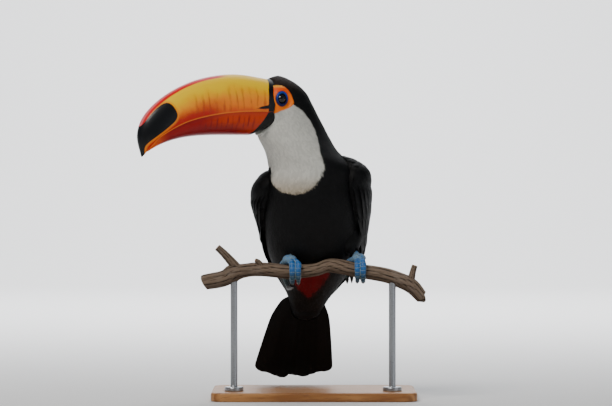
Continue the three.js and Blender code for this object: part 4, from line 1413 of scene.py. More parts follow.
def fill_bars(tree, entry):
    """Wavy bars across the bill: a sine of the forward place, whose phase wanders with a noise that changes
    slowly from top to bottom."""
    upright = (1, 1, 0.4)
    wander = reckon(tree, "SUBTRACT", noise(tree, 75.0, 2.0, along=upright), 0.5)
    shifted = plus(tree, entry["Forward"], times(tree, wander, entry["Wander"]))
    turns = reckon(tree, "DIVIDE", shifted, entry["Spacing"])
    wave = reckon(tree, "COSINE", times(tree, turns, FULL_TURN))
    broken = between(tree, noise(tree, 140.0, 2.0, along=upright), 0.35, 0.6)
    return {"Bar": times(tree, between(tree, wave, 0.1, 1.0), broken)}


BAR_PLACES = {"Forward": 0.0, "Spacing": 14.6, "Wander": 14.0}
BARS = group("wavy bars", BAR_PLACES, {"Bar": "NodeSocketFloat"}, fill_bars)


def horn_relief(tree):
    """Fine growth lines along the bill and faint dents."""
    lines = noise(tree, 700.0, 2.0, along=(0.25, 0.25, 1))
    dents = noise(tree, 90.0, 2.0)
    return bump(tree, plus(tree, times(tree, lines, 0.25), dents), 0.0003, 0.35)


def unrest(tree, scale):
    """Slow noise on both sides of zero, which lets one colour run into the next unevenly."""
    return times(tree, reckon(tree, "SUBTRACT", noise(tree, scale), 0.5), 0.35)


def upper_horn(tree):
    """Yellow above, orange below, red along the ridge with a painted pink highlight on its crest, red-brown
    bars, and black parts with sharp edges.
    """
    forward, rise, below, black = (read(tree, key) for key in ("forward", "rise", "below", "black"))
    low = reckon(tree, "SUBTRACT", 1.0, rise)
    level = plus(tree, low, unrest(tree, 55.0))
    colour = blend(tree, between(tree, level, 0.2, 0.75), tint(255, 208, 0), tint(252, 134, 0))
    colour = blend(tree, between(tree, level, 0.72, 1.1), colour, tint(216, 56, 0))
    far = times(tree, between(tree, forward, 48.0, 82.0), between(tree, level, 0.5, 0.95))
    colour = blend(tree, far, colour, tint(188, 20, 0))
    bar = use(tree, BARS, Forward=forward, Spacing=8.6, Wander=11.0)["Bar"]
    share = times(tree, bar, between(tree, level, 0.25, 0.62), between(tree, low, 1.0, 0.9),
                  between(tree, forward, 106.0, 88.0), 0.5)
    colour = blend(tree, share, colour, tint(172, 50, 0))
    colour = blend(tree, times(tree, between(tree, low, 0.95, 0.99), 0.6), colour, tint(246, 140, 20))
    strip = times(tree, between(tree, below, 3.3, 2.4), between(tree, forward, 44.0, 62.0))
    colour = blend(tree, strip, colour, tint(222, 14, 20))
    # painted highlight: pale pink along the very top of the red ridge
    colour = blend(tree, times(tree, strip, between(tree, below, 1.3, 0.3), 0.5), colour, tint(255, 150, 160))
    rim = times(tree, between(tree, black, -3.6, -0.3), between(tree, forward, 100.0, 112.0),
                between(tree, strip, 1.0, 0.0), 0.8)
    colour = blend(tree, rim, colour, tint(244, 138, 0))
    dark = blend(tree, between(tree, forward, 60.0, 100.0), tint(6, 6, 8), tint(13, 15, 19))
    colour = blend(tree, between(tree, black, -0.3, 0.3), colour, dark)
    gloss = between(tree, black, -0.3, 0.3, 0.34, 0.42)
    return {"Base Color": colour, "Roughness": gloss, "Normal": horn_relief(tree)}


def lower_horn(tree):
    """Orange towards the base and red further out, crimson along the gonys with a lighter painted highlight
    on its lowest edge, orange again at the tip.
    """
    forward, rise, black = (read(tree, key) for key in ("forward", "rise", "black"))
    level = plus(tree, rise, unrest(tree, 60.0))
    colour = blend(tree, between(tree, forward, 50.0, 92.0), tint(206, 58, 0), tint(160, 8, 2))
    bar = use(tree, BARS, Forward=forward, Spacing=6.8, Wander=9.0)["Bar"]
    share = times(tree, bar, between(tree, rise, 0.06, 0.3), between(tree, forward, 112.0, 80.0),
                  between(tree, forward, 10.0, 26.0), 0.75)
    colour = blend(tree, share, colour, tint(138, 10, 4))
    deep = times(tree, between(tree, level, 0.3, 0.9), between(tree, forward, 12.0, 48.0, 0.45, 1.0))
    colour = blend(tree, deep, colour, tint(126, 0, 14))
    # painted highlight: lighter crimson along the lowest edge of the gonys
    colour = blend(tree, times(tree, between(tree, rise, 0.9, 1.0), 0.5), colour, tint(186, 8, 34))
    colour = blend(tree, between(tree, forward, 124.0, 146.0), colour, tint(236, 92, 4))
    colour = blend(tree, between(tree, black, -0.3, 0.3), colour, tint(7, 7, 7))
    return {"Base Color": colour, "Normal": horn_relief(tree)}


HORN = dict(Coat_Weight=0.14, Coat_Roughness=0.16, Specular_IOR_Level=0.2)
UPPER_HORN = material("upper bill horn", upper_horn, **HORN)
LOWER_HORN = material("lower bill horn", lower_horn, Roughness=0.34, **HORN)
dress(upper_bill, UPPER_HORN, ["bill_upper"])
dress(lower_bill, LOWER_HORN, ["bill_lower"])

# %% [markdown]
# ## Eyes
# An eye is a ball with a slight swelling over the pupil, wet and nearly black. It stays apart from the skin,
# which closes round it with the lid. A clear coat over a dark base gives one small sharp highlight.

# %% Eyes
CORNEA_RISE, CORNEA_SPREAD = 0.35, 0.42  # mm, and radians from the outward axis


def eyeball(hand):
    """Ball round the eye's middle; its radius grows by the cornea, a narrow bell about the outward axis."""
    side = SIDES[hand]
    polar = np.radians(np.linspace(1.5, 178.5, 60))
    P, A = np.meshgrid(polar, np.linspace(0, TURN, 72, endpoint=False), indexing="ij")
    radius = EYE_RADIUS + CORNEA_RISE * np.exp(-((P / CORNEA_SPREAD) ** 2))
    out = EYE_OUT + radius * np.cos(P)
    forward, up = radius * np.sin(P) * np.cos(A), radius * np.sin(P) * np.sin(A)
    middle = HEAD_MIDDLE + EYE_FORWARD * AHEAD + (EYE_HEIGHT - HEAD_MIDDLE[2]) * UP
    points = middle + out[..., None] * side * LEFT + forward[..., None] * AHEAD + up[..., None] * UP
    away = (radius * np.sin(P)).ravel()
    return closed_loft(f"eyeball_{hand}", points, marks={"away": np.concatenate([away, [0, 0]])})


def eye_surface(tree):
    """Black pupil in a very dark brown iris with faint spokes."""
    away = read(tree, "away")
    spokes = noise(tree, 1500.0, 2.0)
    iris = blend(tree, spokes, tint(14, 9, 7), tint(34, 20, 12))
    colour = blend(tree, between(tree, away, 2.35, 2.6), tint(2, 2, 3), iris)
    return {"Base Color": blend(tree, between(tree, away, 4.1, 4.5), colour, tint(5, 6, 12))}


WET = dict(Roughness=0.15, Specular_IOR_Level=0.3, Coat_Weight=0.45, Coat_Roughness=0.03)
EYE_FINISH = material("wet eye", eye_surface, **WET)
for hand in SIDES:
    dress(eyeball(hand), EYE_FINISH, [f"eye_{hand}"])

# %% [markdown]
# ## Claws
# Claws are horn: cones that curve on round the branch from the ends of the toes, deeper than they are wide.
# They use the toes' own arcs, so each one grows out of its toe without a step.

# %% Claws
CLAW_RADIUS, CLAW_DEEPER = 2.5, 1.12


def claw(hand, name):
    """Curved cone that goes on round the branch from the end of the toe; its radius shrinks with a power of
    the share that is left."""
    toe = TOES[name]
    sweep = np.sign(toe[hand] - toe["start"]) * CLAW_SWEEP
    u = np.linspace(0, 1, 9)
    slack, inwards = LOOSE.get(hand, {}).get(name, (0, 0))
    radius = WRAP + 2.4 * u**2 - 0.2 + slack
    lane = FEET[hand][name] + inwards * (1 + 0.9 * u)
    line = on_branch(hand, toe[hand] + sweep * (u * 1.1 - 0.08), radius, lane)
    radii = CLAW_RADIUS * toe["size"] * (1 - u) ** 0.75 + 0.18
    return closed_loft(f"claw_{hand}_{name}", limb(line, radii, 30, 18, flat=CLAW_DEEPER))


def claw_surface(tree):
    """Dark grey horn, a little lighter in streaks."""
    streak = noise(tree, 900.0, along=(1, 1, 0.3))
    colour = blend(tree, streak, tint(34, 34, 36), tint(86, 84, 82))
    return {"Base Color": colour, "Normal": bump(tree, streak, 0.0002, 0.4)}


claws = join([claw(hand, name) for hand in SIDES for name in TOES], "claws")
turn_outwards(claws)
shade_smooth(claws)
CLAW_FINISH = material("claw horn", claw_surface, Roughness=0.35, Coat_Weight=0.2)
dress(claws, CLAW_FINISH, [f"claw_{name}_{hand}" for hand in SIDES for name in TOES])

# %% [markdown]
# ## Scutes
# The fronts of a bird's toes carry a row of broad overlapping plates, one behind the other like a ladder.
# Each is a small curved shield, closed all round, that spans the outer side of the toe. All of them are one
# piece, worked out from the toes' middle lines.

# %% Scutes
SCUTE_STEP = 3.9
SCUTE_ROWS = np.array([0.01, 0.07, 0.2, 0.5, 0.78, 0.91, 0.97])  # places along one shield
SCUTE_COLUMNS, SCUTE_REACH = 11, 74  # points round the toe, and degrees to either side
SCUTE_EDGE = -0.35  # height of its edges over the toe's radius, just under the skin
SCUTE_BULGE, SCUTE_SUNK = 0.6, 1.0


def scute_rings(line, radius):
    """Shields along a toe: for each, rows along it and columns round its outer side. The height over the toe
    is a bulge that falls away at the edges; the inner sheet lies under the skin. With them comes how near
    each point is to the shield's edge."""
    length = np.linalg.norm(np.diff(curve(line, np.linspace(0, 1, 80)), axis=0), axis=1).sum()
    count = int(length * 0.95 / SCUTE_STEP)
    u = (np.arange(count)[:, None] + 0.2 + SCUTE_ROWS) / count * 0.97
    middle = curve(line, u)
    thick = curve(radius[:, None], u)[..., 0]
    along = unit(curve(line, np.clip(u + 0.01, 0, 1)) - curve(line, np.clip(u - 0.01, 0, 1)))
    side = np.broadcast_to([1.0, 0, 0], along.shape)
    out = unit(np.cross(side, along))
    outward = (middle - line.mean(0)) * [0, 1.0, 1.0] * out
    out = out * np.sign(outward.sum((1, 2), keepdims=True))
    turn = np.radians(np.linspace(-SCUTE_REACH, SCUTE_REACH, SCUTE_COLUMNS))
    rim = 1 - np.abs(np.linspace(-1, 1, SCUTE_COLUMNS)) ** 6
    crest = 1 - np.abs(2 * SCUTE_ROWS[:, None] - 0.98) ** 6
    height = thick[..., None] + SCUTE_EDGE + SCUTE_BULGE * (rim * crest)
    round_it = np.cos(turn)[:, None] * out[:, :, None] + np.sin(turn)[:, None] * side[:, :, None]
    top = middle[:, :, None] + height[..., None] * round_it
    under = middle[:, :, None] + (thick[..., None, None] - SCUTE_SUNK) * round_it
    edge = np.concatenate([1 - rim * crest, np.ones((len(SCUTE_ROWS), SCUTE_COLUMNS))], 1)
    return np.concatenate([top, under[:, :, ::-1]], 2), edge


scute_parts = []
for hand in SIDES:
    for name in TOES:
        shields, edge = scute_rings(*toe_line(hand, name))
        for rings in shields:
            scute_parts.append(closed_loft("scute", rings, marks={"edge": np.append(edge.ravel(), [1, 1])}))
scutes = join(scute_parts, "scutes")
turn_outwards(scutes)
shade_smooth(scutes)
print("scutes:", len(scute_parts), "triangles:", triangles(scutes))


def scute_surface(tree):
    """Blue, with painted shade that makes it darker and greener on the underside of the foot, and paler at
    the edges of each shield.
    """
    cloud = noise(tree, 260.0)
    blue = blend(tree, cloud, tint(8, 66, 132), tint(44, 124, 196))
    # painted shade: the scutes turn dark teal towards the underside of the foot
    blue = blend(tree, between(tree, floor_height(tree), 0.153, 0.139), blue, tint(16, 58, 78))
    blue = blend(tree, between(tree, read(tree, "edge"), 0.25, 0.75), blue, tint(128, 150, 160))
    grain = use(tree, GRAIN, Scale=1200.0)
    return {"Base Color": blue, "Normal": bump(tree, grain["Height"], 0.0001, 0.5)}


SCUTE_FINISH = material("foot scutes", scute_surface, Roughness=0.4, Specular_IOR_Level=0.45)
dress(scutes, SCUTE_FINISH)

# %% [markdown]
# ## Wings
# A wing's long feathers are blades with a stiff quill, and their order is fixed: in the folded wing each
# blade lies over the one in front of it, and the rows of coverts lie over their roots. They follow the
# folded wing's own sheet, from a root place to an end place on it, so nothing has to be pressed.

# %% Blades
BLADE_STEPS = np.array([0, 0.03, 0.1, 0.2, 0.32, 0.44, 0.56, 0.68, 0.78, 0.87, 0.94, 0.98, 1.0])


def blade_width(round_end, steps=BLADE_STEPS):
    """Width along a blade as a share: a quick rise at the root, and a half ellipse at the end."""
    end = np.clip((1 - steps) / round_end, 0, 1)
    return np.clip(steps / 0.08, 0, 1) ** 0.5 * np.sqrt(1 - (1 - end) ** 2)


# Rows of blades: count; place along the wing of the first and last root, then of their ends; the same for
# the place across it; half width; width left at the end; roundness of the end; height over the body there.
FLIGHT_ROWS = [
    (8, (0.44, 0.46), (0.995, 0.93), (0.04, 0.40), (0.10, 0.62), 7.0, 0.62, 0.16, (3.0, 4.0, 2.4)),
    (9, (0.42, 0.40), (0.895, 0.80), (0.22, 0.80), (0.16, 0.90), 8.0, 0.72, 0.13, (3.4, 4.6, 3.6)),
    (3, (0.38, 0.34), (0.745, 0.64), (0.84, 0.97), (0.88, 0.96), 8.6, 0.85, 0.2, (3.8, 5.4, 5.0)),
]
COVERT_ROWS = [
    (13, (0.34, 0.33), (0.545, 0.525), (0.05, 0.96), (0.05, 0.96), 6.4, 0.95, 0.28, 1.5),
    (13, (0.25, 0.24), (0.435, 0.42), (0.06, 0.96), (0.06, 0.96), 6.2, 0.95, 0.32, 1.0),
    (14, (0.175, 0.16), (0.34, 0.325), (0.06, 0.95), (0.06, 0.95), 6.0, 0.95, 0.36, 0.6),
]


UNWRAP_SIDE, UNWRAP_WIDE = {"left": 0.52, "right": 0.03}, 0.44  # where each wing's map starts, and its width
FLIGHT_THICK, COVERT_THICK = 0.5, 0.38


def covert_level(hand, s, v, sink):
    """Height of a covert over the body: from under the row above at its root, up to the cushion's surface,
    and down to the flight feathers at the end of the row."""
    rooted = 3.0 * (1 - smooth_step(BLADE_STEPS, 0.0, 0.5))
    return mix(cushion(hand, s, v) - sink, 5.6 - 0.4 * sink, smooth_step(s, 0.4, 0.56)) - rooted


def blade_rows(name, hand, rows, thick):
    """Rows of blades as one piece: each blade's place on the wing goes evenly from its root's to its end's,
    and the ends are a little off theirs."""
    paths, overs, sides, halves, roots = [], [], [], [], []
    for count, s_root, s_end, v_root, v_end, half, narrow, round_end, level in rows:
        q = np.linspace(0, 1, count)[:, None]
        wobble = random.uniform(-1, 1, (count, 2, 1))
        s = mix(mix(*s_root, q), mix(*s_end, q) + 0.005 * wobble[:, 0], BLADE_STEPS)
        v = mix(mix(*v_root, q), mix(*v_end, q) + 0.008 * wobble[:, 1], BLADE_STEPS**0.8)
        if isinstance(level, tuple):
            depth = np.interp(BLADE_STEPS, [0, 0.45, 1], level) + 0 * s
        else:
            depth = covert_level(hand, s, v, level)
        path = wing(hand, s, v, depth)
        along = unit(np.gradient(path, axis=1))
        ahead = wing(hand, s, v - 0.02, depth) - path
        ahead = unit(ahead - (ahead * along).sum(-1, keepdims=True) * along)
        over = np.cross(along, ahead) * SIDES[hand]
        taper = mix(1.0, narrow, BLADE_STEPS**1.5)
        paths.append(path)
        overs.append(over)
        sides.append(ahead)
        halves.append(half * blade_width(round_end) * taper + 0 * s)
        roots.append(np.stack([UNWRAP_SIDE[hand] + UNWRAP_WIDE * v[:, 1], s[:, 1]], -1))
    path, over, ahead, half = (np.concatenate(x) for x in (paths, overs, sides, halves))
    unwrap = np.concatenate(roots) * [1, 0.9] + [0, 0.03]
    piece = vanes(name, path, over, ahead, half, BLADE_STEPS, QUILL, thick, unwrap, arch=0.06, tilt=0.55)
    turn_outwards(piece)
    print(name, len(path), "blades")
    return piece


# %% [markdown]
# The shoulder's small coverts stand on a shifted grid over the arm and are laid by the same rule as the
# body's coat, so that they flow into it without an edge.

# %% Shoulders and wings
SHOULDER_END, SHOULDER_STEP, SHOULDER_COLUMNS = 0.40, 0.0215, 27


def shoulder_coat(hand):
    """Small coverts of the shoulder: a grid over the wing's front, every other column shifted by half a step
    and every place a little off."""
    across = np.linspace(0.015, 0.985, SHOULDER_COLUMNS)
    s, v = np.meshgrid(np.arange(0.0, SHOULDER_END, SHOULDER_STEP), across, indexing="ij")
    s = s + 0.0107 * (np.arange(SHOULDER_COLUMNS) % 2) + random.uniform(-0.004, 0.004, s.shape)
    v = v + random.uniform(-0.008, 0.008, v.shape)
    s, v = s.ravel(), v.ravel()
    roots = wing(hand, s, v, cushion(hand, s, v) - 3.0)
    unwrap = np.stack([UNWRAP_SIDE[hand] + UNWRAP_WIDE * v, 0.03 + 0.9 * s], -1)
    size = random.uniform(0.9, 1.1, len(roots))
    thick = np.full((len(roots), 1), 0.2)
    return feathers(f"coat_shoulder_{hand}", roots, unwrap, 13 * size, 3.4 * size, 2.6 * size, thick)


for hand in SIDES:
    flight = blade_rows(f"flight_{hand}", hand, FLIGHT_ROWS, FLIGHT_THICK)
    coverts = blade_rows(f"coverts_{hand}", hand, COVERT_ROWS, COVERT_THICK)
    shoulder = shoulder_coat(hand)
    dress(flight, FEATHER, [f"wing_flight_{hand}"])
    dress(coverts, FEATHER, [f"wing_coverts_{hand}"])
    dress(shoulder, FEATHER)

# %% [markdown]
# ## Tail
# Ten long blades leave the root side by side and open into a narrow fan, the middle pair on top. One formula
# keeps the steps between them even, and two short lists move single ends a little, as wear does.

# %% Tail
TAIL_ROOT = np.array([-13, 80, 118.0])
TAIL_END = np.array([-26, 121, 18.0])
TAIL_COUNT = 10
TAIL_STEPS = np.interp(np.arange(0, 12.5, 0.5), np.arange(13), BLADE_STEPS)
TAIL_BACK = unit(np.array([0, 1, 0.42]))
TAIL_PARTED = np.array([0, 0.01, 0, -0.05, 0.04, 0.0, 0, -0.02, 0.01, 0])  # ends moved sideways
TAIL_WORN = np.array([0, 0.012, 0, -0.01, 0.03, 0.02, 0, 0.015, 0.02, 0])  # and shortened, as shares
TAIL_HALVES, TAIL_NECK = (22.5, 42.5), 9  # half widths of the fan, and how far its root pulls in


def tail_fan():
    """Ten blades in a fan: the place across grows with the reach, the outer ones are shorter and lie lower,
    and each one's outer edge lies over the next."""
    across = (2 * np.arange(TAIL_COUNT) + 1) / TAIL_COUNT - 1
    c = across[:, None] + TAIL_PARTED[:, None] * TAIL_STEPS**2
    reach = TAIL_STEPS * (1 - 0.11 * c**2 - TAIL_WORN[:, None])
    narrow = TAIL_NECK * (1 - smooth_step(reach, -0.1, 0.3))
    spread_half = mix(*TAIL_HALVES, reach**0.7) - narrow
    layer = -0.55 * np.abs(c) * TAIL_COUNT / 2 * 0.8
    depth = -5.5 * c**2 * (1 - 0.3 * TAIL_STEPS) + layer + 1.2
    path = mix(TAIL_ROOT, TAIL_END, reach[..., None]) + (spread_half * c)[..., None] * [1.0, 0, 0]
    path = path + depth[..., None] * TAIL_BACK
    along = unit(np.gradient(path, axis=1))
    outer = np.sign(c)[..., None] * np.array([1.0, 0, 0])
    outer = unit(outer - (outer * along).sum(-1, keepdims=True) * along)
    over = unit(np.cross(along, outer)) * -np.sign(c)[..., None]
    over = over * np.sign((over * TAIL_BACK).sum(-1, keepdims=True))
    half = mix(6.6, 10.4, TAIL_STEPS) * blade_width(0.085, TAIL_STEPS) + 0 * c
    unwrap = np.stack([0.1 + 0.8 * (across + 1) / 2, 0.9 + 0 * across], -1)
    name = "tail_feathers"
    return vanes(name, path, over, outer, half, TAIL_STEPS, QUILL, 0.6, unwrap, arch=0.05, tilt=0.7)


tail = tail_fan()
turn_outwards(tail)
dress(tail, FEATHER, ["tail"])

# %% [markdown]
# Longer soft feathers hide the joint of tail and body, red below and white above. They are the coat's
# feathers again, kept only where their mark is and laid a little higher.

# %% Coverts above and below the tail


def tail_coverts(name, mask, length, lift):
    """Longer feathers over the tail's root, where the mask is above zero."""
    places = roots_between(-0.55, 0.2, 3.2)
    points = body(places[:, 0], places[:, 1])
    under_wing = inside_wing(points, "left", 2) | inside_wing(points, "right", 2)
    inside = (mask(points) > -1.5) & ~under_wing
    points, places = points[inside], places[inside]
    size = random.uniform(0.9, 1.15, len(points))
    print(name, len(points), "feathers")
    thick = np.full((len(points), 1), 0.3)
    return feathers(name, points, unwrap_of(places), length * size, 3.6 * size, lift * size, thick)


dress(tail_coverts("coat_undertail", undertail, 19, 2.8), FEATHER, ["undertail_coverts"])
dress(tail_coverts("coat_rump", rump, 21, 3.4), FEATHER, ["rump_coverts"])

# %% [markdown]
# ## Branch
# The branch is a swept surface: rings round a curve, with furrows that run along the bark as small changes
# of the radius. A bark texture alone would leave its outline smooth, so the furrows are real. The ends are
# sawn flat and show the rings of the wood.

# %% Branch
BRANCH = np.array([
    [-126, 6, 135], [-104, 3, 139.5], [-88, 0, 147], [-62, 0, 150], [-28, 0, 147], [2, 0, 149.5],
    [20, 0, 154.5], [51, 0, 148.5], [76, 1, 144.5], [98, 3, 138], [113, 5, 130], [124, 7, 118],
])
KNOT = 0.155  # where the branch is thickest, as a share of its length
SAW_STEPS = np.array([0.25, 0.5, 0.75, 0.93])  # rings on the sawn face, as shares of the radius
SAW_EDGE = 0.5
TWIGS = [
    # start, end, radius at the start and at the end
    ([-88, 0, 150], [-111, -2, 175], 7.0, 4.0),
    ([111, 4, 134], [116, 3, 154], 5.4, 3.4),
    ([-60, -3, 153], [-67, -5, 160.5], 4.6, 2.4),
]


def furrows(phase, sharpness):
    """A row of rounded ridges with sharp furrows between them: a sine without its sign, raised to a power."""
    return np.abs(np.sin(phase)) ** sharpness


def bark(turn, run, phase=0.0):
    """Relief of the bark in mm and its ridges, 0 to 1: furrows along the wood that wander as they go, in
    three finenesses, and slow lumps."""
    wander = 1.3 * np.sin(run * 0.043 + phase) + 0.7 * np.sin(run * 0.11 + 2 * phase)
    ridge = 0.42 * furrows(4.5 * turn + wander, 0.5) + 0.33 * furrows(7 * turn - 1.7 * wander + 1, 0.5)
    ridge = ridge + 0.25 * furrows(13 * turn + 2.3 * wander + 0.09 * run, 0.7)
    lumps = np.sin(run * 0.19 + 2 * np.sin(turn + phase)) * np.sin(2 * turn + run * 0.05)
    return 0.55 * (ridge - 0.85) + 0.2 * lumps, ridge


def sawn_piece(name, line, radius, columns=72, rough=1.0):
    """Wood along a line: bark rings, then at each end a small chamfer and rings inwards on the sawn face."""
    along = unit(np.gradient(line, axis=0))
    across = unit(np.array([0, 1.0, 0]) - along[:, 1:2] * along)
    over = np.cross(along, across)
    run = np.concatenate([[0], np.cumsum(np.linalg.norm(np.diff(line, axis=0), axis=1))])
    turn = np.linspace(0, TURN, columns, endpoint=False)
    relief, ridge = bark(turn[None], run[:, None], radius[0])
    depth = radius[:, None] + rough * relief
    sawn = len(SAW_STEPS)
    share = np.concatenate([SAW_STEPS, np.ones(len(line)), SAW_STEPS[::-1]])
    pick = np.concatenate([[0] * sawn, np.arange(len(line)), [len(line) - 1] * sawn])
    depth = depth[pick] * share[:, None]
    line, across, over = line[pick], across[pick], over[pick]
    outwards = np.where(share < 1, SAW_EDGE, 0) * np.where(np.arange(len(pick)) < sawn, -1, 1)
    line = line + outwards[:, None] * along[pick]
    cosine, sine = np.cos(turn)[:, None], np.sin(turn)[:, None]
    rings = line[:, None] + depth[..., None] * (cosine * across[:, None] + sine * over[:, None])
    # how far each point faces upwards, which the bark's painted shade on the underside reads
    upwards = np.tile(np.sin(turn), len(pick)) * np.sign(over[:, 2]).repeat(columns)
    marks = {"ring": depth.ravel(), "ridge": ridge[pick].ravel(), "top": upwards}
    marks = {key: np.append(values, [0, 0]) for key, values in marks.items()}
    marks["cut"] = np.append(np.repeat(share < 1, columns).astype(float), [1, 1])
    return closed_loft(name, rings, marks=marks)


def branch_piece():
    """The branch swells at its knot and is even where the feet hold it."""
    u = np.linspace(0, 1, 300)
    line = curve(BRANCH, u)
    swell = 1 + 0.08 * np.sin(9 * u + 1) + 0.05 * np.sin(23 * u) + 0.25 * np.exp(-(((u - KNOT) / 0.035) ** 2))
    held = np.exp(-(((line[:, :1] - [f["x"] for f in FEET.values()]) / 16) ** 2)).max(1)
    line[[0, -1]] += [[0.5, 0, 0], [-0.3, 0, 0.5]]
    return sawn_piece("branch", line, BRANCH_RADIUS * mix(swell, 0.97, held) - 0.12)


def twig_piece(start, end, thick, thin):
    """A broken side twig that bends a little upwards."""
    u = np.linspace(0, 1, 40)
    line = mix(np.array(start, float), np.array(end, float), u[:, None])
    line[:, 2] += 1.6 * np.sin(np.pi * u)
    return sawn_piece("twig", line, mix(thick, thin, np.sqrt(u)) - 0.15, columns=40, rough=0.6)


perch = join([branch_piece()] + [twig_piece(*t) for t in TWIGS], "perch")
perch.data.set_sharp_from_angle(angle=EDGE_ANGLE)
print("perch faces:", len(perch.data.polygons))

# %% [markdown]
# The bark is palest on its ridges and darkest in its furrows, partly its own colour and partly painted
# highlight and shade, and painted shade darkens its underside. The marks for ridge, top and cut are stored on
# the points, so the colours follow the real relief.

# %% Bark


def bark_surface(tree):
    """Grey-brown bark, pale on the ridges and dark in the furrows, partly its own colour and partly painted
    highlight and shade, with painted shade below; pale sawn ends with growth rings."""
    fine = noise(tree, 900.0, 4.0, 0.65, along=(0.12, 1, 1))
    ridge = between(tree, read(tree, "ridge"), 0.4, 0.95)
    streaks = plus(tree, times(tree, ridge, 0.55), times(tree, fine, 0.6))
    patches = noise(tree, 60.0, 4.0)
    grain = use(tree, GRAIN, Scale=500.0)
    # partly painted light and shade: pale on the ridges and dark in the furrows, following the relief
    colour = blend(tree, between(tree, streaks, 0.25, 0.8), tint(34, 25, 19), tint(126, 107, 90))
    colour = blend(tree, between(tree, patches, 0.5, 0.75, 0.0, 0.35), colour, tint(146, 132, 120))
    # painted shade: the underside of branch and twigs is darkened
    colour = blend(tree, between(tree, read(tree, "top"), 0.1, -0.8, 0.0, 0.6), colour, tint(40, 27, 17))
    growth = plus(tree, read(tree, "ring"), times(tree, patches, 1.5))
    rings = reckon(tree, "SINE", times(tree, growth, 7.0))
    wood = blend(tree, between(tree, rings, -0.6, 0.9), tint(168, 128, 84), tint(120, 82, 48))
    colour = blend(tree, read(tree, "cut"), colour, wood)
    relief = plus(tree, streaks, times(tree, grain["Height"], 0.6))
    return {"Base Color": colour, "Normal": bump(tree, relief, 0.0008, 0.8)}


BARK = material("weathered bark", bark_surface, Roughness=0.85, Specular_IOR_Level=0.25)
dress(perch, BARK, ["perch_branch"])

# %% [markdown]
# ## Base
# The base is an oak board with rounded corners. A Bevel modifier could round its edge, but here the profile
# does: each ring is the board's outline, drawn in by a little more at each height.

# %% Base
BASE_HALF = (118, 75)
BASE_MIDDLE = np.array([0, 37])
BASE_THICK = 10
BASE_CORNER = 16
BASE_ROUND = 2.2  # radius of the upper edge


def base_ring(inset, height, count=240):
    """Rounded rectangle at a height: a corner circle moved out to the four corners in turn."""
    turn = (np.arange(count) + 0.5) / count * TURN
    radius = max(BASE_CORNER - inset, 1.0)
    quarter = np.sign(np.stack([np.cos(turn), np.sin(turn)], -1))
    middle = quarter * (np.array(BASE_HALF) - inset - radius) + BASE_MIDDLE
    flat = middle + radius * np.stack([np.cos(turn), np.sin(turn)], -1)
    return np.concatenate([flat, np.full((count, 1), height)], -1)


bend = np.radians(np.linspace(0, 90, 7))
edge = [(BASE_ROUND * (1 - np.sin(b)), BASE_ROUND * (1 - np.cos(b))) for b in bend]
lower_edge = [(60, 0.0), (30, 0.0), (1.0, 0.0), (0.3, 0.3), (0.0, 1.0)]
upper_edge = [(inset, BASE_THICK - drop) for inset, drop in edge][::-1]
upper_face = [(inset, BASE_THICK) for inset in (4, 30, 60)]
profile = lower_edge + upper_edge + upper_face
base = closed_loft("base", np.array([base_ring(*step) for step in profile]))
base.data.set_sharp_from_angle(angle=EDGE_ANGLE)


def oak_surface(tree):
    """Oak along X: wide flames from stretched rings, and fine dark pores."""
    bands = {"wave_type": "BANDS", "bands_direction": "Y"}
    flames = put(tree, "TexWave", bands, Vector=place(tree, (0.09, 1, 1)), Scale=38.0, Distortion=9.0,
                 Detail=3.0, Detail_Scale=1.2).outputs["Fac"]
    pores = noise(tree, 1400.0, 2.0, along=(0.04, 1, 1))
    colour = blend(tree, flames, tint(186, 132, 78), tint(146, 94, 48))
    colour = blend(tree, between(tree, pores, 0.42, 0.3, 0.0, 0.7), colour, tint(92, 56, 28))
    relief = plus(tree, times(tree, flames, 0.3), between(tree, pores, 0.3, 0.45))
    return {"Base Color": colour, "Normal": bump(tree, relief, 0.00015, 0.5)}


OAK = material("oiled oak", oak_surface, Roughness=0.45, Specular_IOR_Level=0.4)
dress(base, OAK, ["stand_base"])

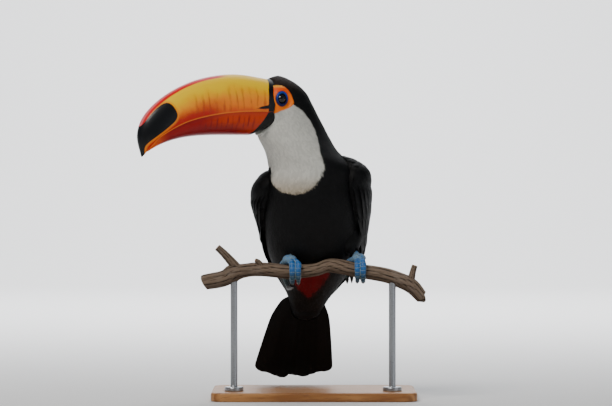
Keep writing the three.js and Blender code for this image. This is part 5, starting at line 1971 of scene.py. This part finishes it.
# %% [markdown]
# ## Rods
# Two steel rods with round feet carry the branch. Each is one profile turned about an upright line, as on a
# lathe, with a hollow rounding between foot and rod.

# %% Rods
ROD_RADIUS = 4
ROD_PLACES = {"left": (90, 139.5), "right": (-92, 143.5)}  # sideways place, and height of the top
FOOT_RADIUS, FOOT_HEIGHT, FOOT_ROUND = 11, 5, 1.5
FOOT_EDGE = 0.3
FOOT_GAP = 0.05  # the foot stands this far over the base


def turned(name, x, profile, count=64):
    """A profile of radius and height turned round an upright line."""
    radius, height = np.array(profile, float).T
    turn = np.linspace(0, TURN, count, endpoint=False)
    flat = radius[:, None, None] * np.stack([np.cos(turn), np.sin(turn)], -1)
    level = np.broadcast_to(height[:, None, None], (len(radius), count, 1))
    return closed_loft(name, np.concatenate([flat + [x, 0], level], -1))


def steel_surface(tree):
    """Brushed round the rod: fine level lines that change the gloss and the surface."""
    lines = noise(tree, 4000.0, 2.0, along=(0.1, 0.1, 1))
    return {"Roughness": between(tree, lines, 0.3, 0.7, 0.26, 0.4), "Normal": bump(tree, lines, 0.00003, 0.4)}


STEEL = material("brushed steel", steel_surface, Base_Color=tint(176, 178, 182), Metallic=1.0)
for hand, (x, top) in ROD_PLACES.items():
    low = BASE_THICK + FOOT_GAP
    rim = [(6, low), (FOOT_RADIUS - FOOT_EDGE, low), (FOOT_RADIUS, low + FOOT_EDGE)]
    arc = np.radians(np.linspace(0, 90, 6))
    sides, rises = FOOT_ROUND * (1 - np.cos(arc)), FOOT_ROUND * (1 - np.sin(arc))
    crown = [(FOOT_RADIUS - a, low + FOOT_HEIGHT - b) for a, b in zip(sides, rises)]
    neck = [(ROD_RADIUS + b, low + FOOT_HEIGHT + a) for a, b in zip(sides, rises)]
    shaft = [(ROD_RADIUS, 60), (ROD_RADIUS, top), (2, top)]
    rod = turned(f"rod_{hand}", x, rim + crown + neck + shaft)
    rod.data.set_sharp_from_angle(angle=EDGE_ANGLE)
    dress(rod, STEEL, [f"stand_rod_{hand}"])
